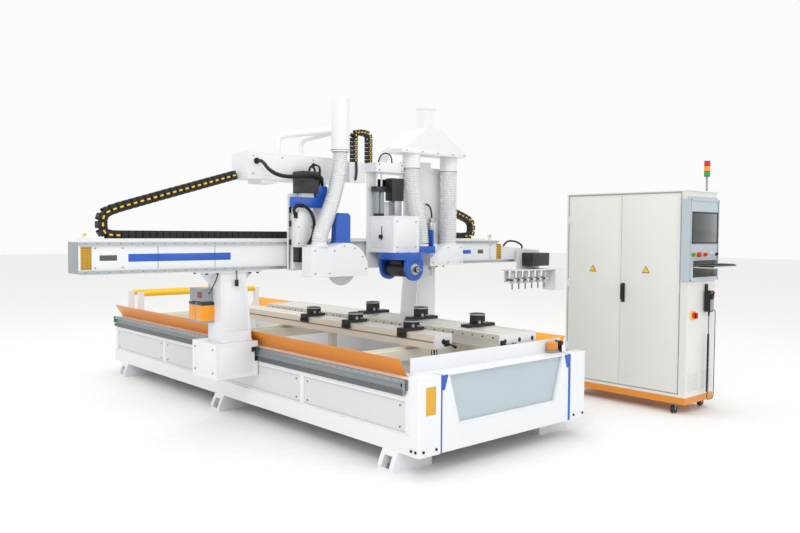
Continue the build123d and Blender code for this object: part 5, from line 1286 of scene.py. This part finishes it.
class ROUTER_OT_cabinet(RouterOperator, bpy.types.Operator):
    """Doors' trims, console, controls, keys, louvres, casters and lamps of the cabinet"""

    bl_idname = "router.cabinet"
    bl_label = "Cabinet details"

    def build(self):
        self.doors()
        self.console()
        self.keys()
        self.lower_end()
        self.lamps()
        self.casters()

    def triangle(self, name, body, y, z):
        """Plain yellow triangle with a black rim."""
        x = 1.9796
        size = 0.036
        rim = plate([(x, y - size, z - size * 0.6), (x, y + size, z - size * 0.6), (x, y, z + size * 1.15)], (0, 0, 0), (-0.0009, 0, 0), 0)
        finished(rim, f"{name}_rim", body, "rubber")
        size *= 0.8
        face = plate([(x, y - size, z - size * 0.57), (x, y + size, z - size * 0.57), (x, y, z + size * 1.12)], (-0.0009, 0, 0), (-0.0006, 0, 0), 0)
        finished(face, name, body, "yellow")

    def doors(self):
        for label, start, end in (("front", -2.500, -1.947), ("rear", -1.943, -1.390)):
            panel = block((1.9804, start + 0.024, 0.199), (1.983, end - 0.024, 1.826), 0.0014)
            finished(panel, f"door_{label}_skin", f"door_{label}", "cabinet")
        self.triangle("door_front_triangle", "door_front", -2.192, 1.193)
        self.triangle("door_rear_triangle", "door_rear", -1.655, 1.185)
        plate_parts = [block((1.9795, -1.990, 0.905), (1.9825, -1.952, 1.075), 0.001),
                       block((1.9550, -1.9845, 0.932), (1.9680, -1.9575, 1.060), 0.004)]
        finished(plate_parts[0], "handle_plate", "door_front", "motor")
        finished(plate_parts[1], "handle_grip", "handle", "black")
        seams = []
        for y0, y1, z0, z1 in ((-2.512, -2.504, 0.164, 1.861), (-1.386, -1.378, 0.164, 1.861), (-2.512, -1.378, 0.164, 0.171), (-2.512, -1.378, 1.854, 1.861)):
            seams.append(block((1.9812, y0, z0), (1.9825, y1, z1), 0.0003, 1))
        group("door_seals", "base", "seam", seams)
        shell_low, shell_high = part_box("cabinet_shell")
        roof = [block((shell_low.x - 0.004, shell_low.y - 0.004, 1.863), (shell_high.x + 0.004, shell_high.y + 0.004, 1.874), 0.003)]
        group("cabinet_roof", "base", "cabinet", roof)

    def console(self):
        low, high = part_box("control_console")
        front = -2.603
        hood = [plate([(0, front, 1.800), (0, -2.573, 1.800), (0, -2.573, 1.822), (0, front + 0.010, 1.808)], (low.x, 0, 0), (high.x - low.x, 0, 0), 0.001)]
        rim = 0.014
        hood.append(block((low.x, front - 0.002, low.z), (low.x + rim, front + 0.004, high.z), 0.002))
        hood.append(block((high.x - rim, front - 0.002, low.z), (high.x, front + 0.004, high.z), 0.002))
        hood.append(block((low.x, front - 0.002, high.z - rim), (high.x, front + 0.004, high.z), 0.002))
        hood.append(block((low.x, front - 0.002, low.z), (high.x, front + 0.004, low.z + 0.022), 0.002))
        group("console_rim", "base", "panel", hood)
        bezel = []
        x0, x1, z0, z1 = 1.990, 2.434, 1.430, 1.695
        for a, b in (((x0, z0), (x1, z0 + 0.012)), ((x0, z1 - 0.012), (x1, z1)), ((x0, z0), (x0 + 0.012, z1)), ((x1 - 0.012, z0), (x1, z1))):
            bezel.append(block((a[0], front + 0.0005, a[1]), (b[0], front + 0.0045, b[1]), 0.001))
        group("monitor_frame", "base", "black", bezel)
        screen = block((x0 + 0.010, front + 0.0012, z0 + 0.010), (x1 - 0.010, front + 0.0030, z1 - 0.010), 0.0004)
        finished(screen, "monitor_glass", "base", "screen")
        plates = []
        for x, shade in ((2.005, "green"), (2.100, "red"), (2.210, "red"), (2.335, "pale"), (2.410, "black")):
            plates.append(turned(0.0245, (x, front + 0.0062, 1.340), (x, front + 0.0040, 1.340), 0.0006, 32))
        group("button_plates", "base", "yellow", plates[:3])
        group("selector_plates", "base", "pale", plates[3:])
        group("selector_head", "base", "pale",
              [turned(0.0142, (2.335, -2.6155, 1.340), (2.335, -2.597, 1.340), 0.003, 28), block((2.331, -2.624, 1.327), (2.339, -2.615, 1.353), 0.002)])
        group("knob_head", "base", "black",
              [turned(0.0145, (2.410, -2.6160, 1.340), (2.410, -2.597, 1.340), 0.003, 20), block((2.408, -2.622, 1.340), (2.412, -2.615, 1.353), 0.001)])
        caps = ((2.005, "start", "green", 0.0140, "green_plastic"), (2.210, "stop", "red", 0.0140, "red_plastic"))
        for x, body, shade, radius, slot in caps:
            cap = turned(radius + 0.0005, (x, -2.6235, 1.340), (x, -2.6045, 1.340), 0.003, 32)
            finished(cap, f"{body}_cap", body, shade)
        mushroom = [turned(0.0205, (2.100, -2.6240, 1.340), (2.100, -2.6120, 1.340), 0.005, 36),
                    turned(0.0140, (2.100, -2.6125, 1.340), (2.100, -2.6040, 1.340), 0.001, 28, 0.012)]
        group("e_stop_cap", "e_stop", "red", mushroom)
        catches = []
        for z in (1.755, 1.735):
            catches.append(block((high.x + 0.0, -2.598, z), (high.x + 0.004, -2.580, z + 0.010), 0.001))
        group("console_catches", "base", "bolt", catches)

    def keys(self):
        low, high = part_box("keyboard_tray")
        parts = []
        top = 1.256
        columns = 17
        x0, width = 2.036, (2.414 - 2.036) / columns
        for row in range(6):
            y = -2.766 + 0.0205 * row
            for column in range(columns):
                parts.append((x0 + width * column, y))
        first = Vector((*parts[0], top))
        key = block(first, first + Vector((width * 0.86, 0.0172, 0.006)), 0.0015, 1)
        finished(copies(key, [Vector((x, y, top)) - first for x, y in parts[1:]]), "keyboard_keys", "tray", "rubber")
        shell = block((2.029, -2.776, 1.2368), (2.421, -2.642, 1.2566), 0.004)
        finished(shell, "keyboard_shell", "tray", "black")
        lip = block((2.0195, -2.7829, 1.2365), (2.4305, -2.7795, 1.2455), 0.0015)
        finished(lip, "tray_lip", "tray", "cabinet")

    def lower_end(self):
        """Louvres, the rotary isolator's plate and knob, and the end wall's rail."""
        y = -2.573
        louvres = []
        for x in (2.027, 2.250):
            for n in range(6):
                z = 0.200 + 0.028 * n
                louvres.append(plate([(0, y, z + 0.009), (0, y - 0.007, z + 0.002), (0, y - 0.007, z), (0, y, z + 0.0065)],
                                     (x, 0, 0), (0.170, 0, 0), 0.0004))
        group("louvres", "base", "cabinet", louvres)
        isolator = [block((2.043, y - 0.0112, 0.793), (2.117, y - 0.002, 0.867), 0.004)]
        group("isolator_plate", "base", "yellow", isolator)
        knob = [turned(0.0268, (2.080, y - 0.034, 0.830), (2.080, y - 0.0108, 0.830), 0.004, 36),
                block((2.0715, y - 0.0465, 0.8055), (2.0885, y - 0.0335, 0.8545), 0.003)]
        group("isolator_knob", "isolator", "red", knob)
        frame_parts = [block((1.996, y - 0.003, 1.095), (2.45, y + 0.001, 1.112), 0.0012)]
        group("end_wall_rail", "base", "cabinet", frame_parts)

    def lamps(self):
        x, y = 2.418, -2.500
        base = [turned(0.0255, (x, y, 2.008), (x, y, 2.012), 0.001, 36), turned(0.0260, (x, y, 2.050), (x, y, 2.054), 0.001, 36),
                turned(0.0260, (x, y, 2.096), (x, y, 2.100), 0.001, 36), turned(0.0260, (x, y, 2.137), (x, y, 2.1435), 0.002, 36)]
        group("lamp_rings", "base", "black", base)
        for name, low, high, shade, slot in (("lamp_green", 2.012, 2.050, "green", "green_plastic"), ("lamp_amber", 2.054, 2.096, "amber", "yellow_plastic"),
                                             ("lamp_red", 2.100, 2.137, "red", "red_plastic")):
            parts = [turned(0.0256, (x, y, low), (x, y, high), 0.001, 40)]
            for n in range(4):
                parts.append(ring(0.0252, 0.0013, (x, y, low + 0.006 + 0.0085 * n), (0, 0, 1), 36, 6))
            group(name, "base", shade, parts)

    def casters(self):
        """Tyres and hubs of the casters."""
        tyres, hubs = [], []
        for x in (1.996, 2.450):
            for y in (-2.470, -1.464):
                tyres.append(turned(0.0368, (x, y - 0.0152, 0.0369), (x, y + 0.0152, 0.0369), 0.004, 44))
                tyres.append(block((x - 0.0130, y - 0.0150, 0.036), (x + 0.0130, y + 0.0150, 0.0828), 0.0008))
                hubs.append(turned(0.014, (x, y - 0.017, 0.036), (x, y + 0.017, 0.036), 0.001, 22))
                hubs.append(block((x - 0.026, y - 0.024, 0.076), (x + 0.026, y + 0.024, 0.083), 0.001))
                for side in (-1, 1):
                    hubs.append(block((x - 0.011, y + side * 0.0165 - 0.0012, 0.028), (x + 0.011, y + side * 0.0165 + 0.0012, 0.078), 0.001))
        group("caster_tyres", "base", "rubber", tyres)
        group("caster_hubs", "base", "bolt", hubs)


class ROUTER_OT_pendant(RouterOperator, bpy.types.Operator):
    """Pendant body, wheel, stop button, strain relief and curly cord"""

    bl_idname = "router.pendant"
    bl_label = "Pendant and cord"

    def build(self):
        self.body()
        self.cord()

    def body(self):
        y = -2.573
        shell = [block((2.2575, y - 0.0625, 0.8515), (2.3225, y - 0.0115, 1.0315), 0.009, 3)]
        group("pendant_shell", "base", "black", shell)
        face = [block((2.263, y - 0.0640, 0.862), (2.317, y - 0.0615, 0.955), 0.0015),
                block((2.276, y - 0.0645, 1.0), (2.292, y - 0.0615, 1.024), 0.001)]
        for row in range(4):
            for column in range(3):
                x, z = 2.270 + 0.016 * column, 0.870 + 0.020 * row
                face.append(block((x, y - 0.0660, z), (x + 0.010, y - 0.0635, z + 0.012), 0.001, 1))
        group("pendant_face", "base", "grey", face)
        wheel = [turned(0.0225, (2.284, y - 0.0745, 0.985), (2.284, y - 0.0620, 0.985), 0.003, 40),
                 turned(0.004, (2.294, y - 0.0800, 0.993), (2.294, y - 0.0740, 0.993), 0.001, 14)]
        group("pendant_wheel", "base", "rubber", wheel)
        stop = [turned(0.0100, (2.312, y - 0.0760, 1.012), (2.312, y - 0.0620, 1.012), 0.003, 26)]
        group("pendant_stop", "base", "red", stop)
        hook = [block((2.2795, y - 0.0225, 1.028), (2.3005, y - 0.001, 1.0855), 0.004)]
        group("pendant_hook", "base", "motor", hook)
        relief = [turned(0.0095, (2.290, -2.610, 0.8535), (2.290, -2.610, 0.812), 0.001, 24, 0.0052)]
        for n in range(4):
            relief.append(ring(0.0084 - 0.0009 * n, 0.0012, (2.290, -2.610, 0.846 - 0.009 * n), (0, 0, 1), 24, 6))
        group("pendant_relief", "base", "black", relief)
        gland = [turned(0.009, (2.405, -2.5735, 0.860), (2.405, -2.585, 0.860), 0.001, 6),
                 turned(0.006, (2.405, -2.584, 0.860), (2.405, -2.592, 0.860), 0.001, 20)]
        group("cord_gland", "base", "black", gland)

    def cord(self):
        """One cord: straight down, its curl, a loop, and up to the gland."""
        x, y = 2.290, -2.610
        route = [(x, y, 0.852), (x, y, 0.80), (x, y, 0.74), (x, y, 0.685)]
        turns, per_turn, pitch, radius = 60, 12, 0.0083, 0.0072
        for n in range(turns * per_turn + 1):
            angle = 2 * math.pi * n / per_turn
            route.append((x + radius * math.cos(angle), y + radius * math.sin(angle), 0.660 - pitch * n / per_turn))
        route += [(x, y, 0.135), (x, y, 0.105), (x + 0.02, y, 0.0955), (x + 0.06, y, 0.0945), (x + 0.095, y, 0.0965), (2.405, y, 0.115),
                  (2.405, y, 0.20), (2.405, y, 0.45), (2.405, y, 0.70), (2.405, y, 0.84), (2.405, y + 0.004, 0.858), (2.405, y + 0.018, 0.860),
                  (2.405, -2.574, 0.860)]
        points = line_points(route, 3)
        cord = curve_from(route, 0.0034, 3)
        cord.data.bevel_resolution = 2
        cord.name = "pendant_cord"
        cord.data.materials.append(materials["rubber"])
        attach(cord, "base")
        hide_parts("pendant_lead", "pendant_curl")


steps = [
    ROUTER_OT_stage,
    ROUTER_OT_pendant,
    ROUTER_OT_finishes,
    ROUTER_OT_bed,
    ROUTER_OT_work_beams,
    ROUTER_OT_gantry,
    ROUTER_OT_chains,
    ROUTER_OT_hoses,
    ROUTER_OT_saw_unit,
    ROUTER_OT_spindle_unit,
    ROUTER_OT_magazine,
    ROUTER_OT_cabinet,
]
classes = [RouterColours, RouterSizes, *steps, RouterPanel]


def register():
    for kind in classes:
        bpy.utils.register_class(kind)
    bpy.types.Scene.router_colours = bpy.props.PointerProperty(type=RouterColours)
    bpy.types.Scene.router_sizes = bpy.props.PointerProperty(type=RouterSizes)


def unregister():
    del bpy.types.Scene.router_colours
    del bpy.types.Scene.router_sizes
    for kind in reversed(classes):
        bpy.utils.unregister_class(kind)


def main():
    register()
    make_materials()
    for step in steps:
        family, action = step.bl_idname.split(".")
        getattr(getattr(bpy.ops, family), action)()


if __name__ == "__main__":
    main()
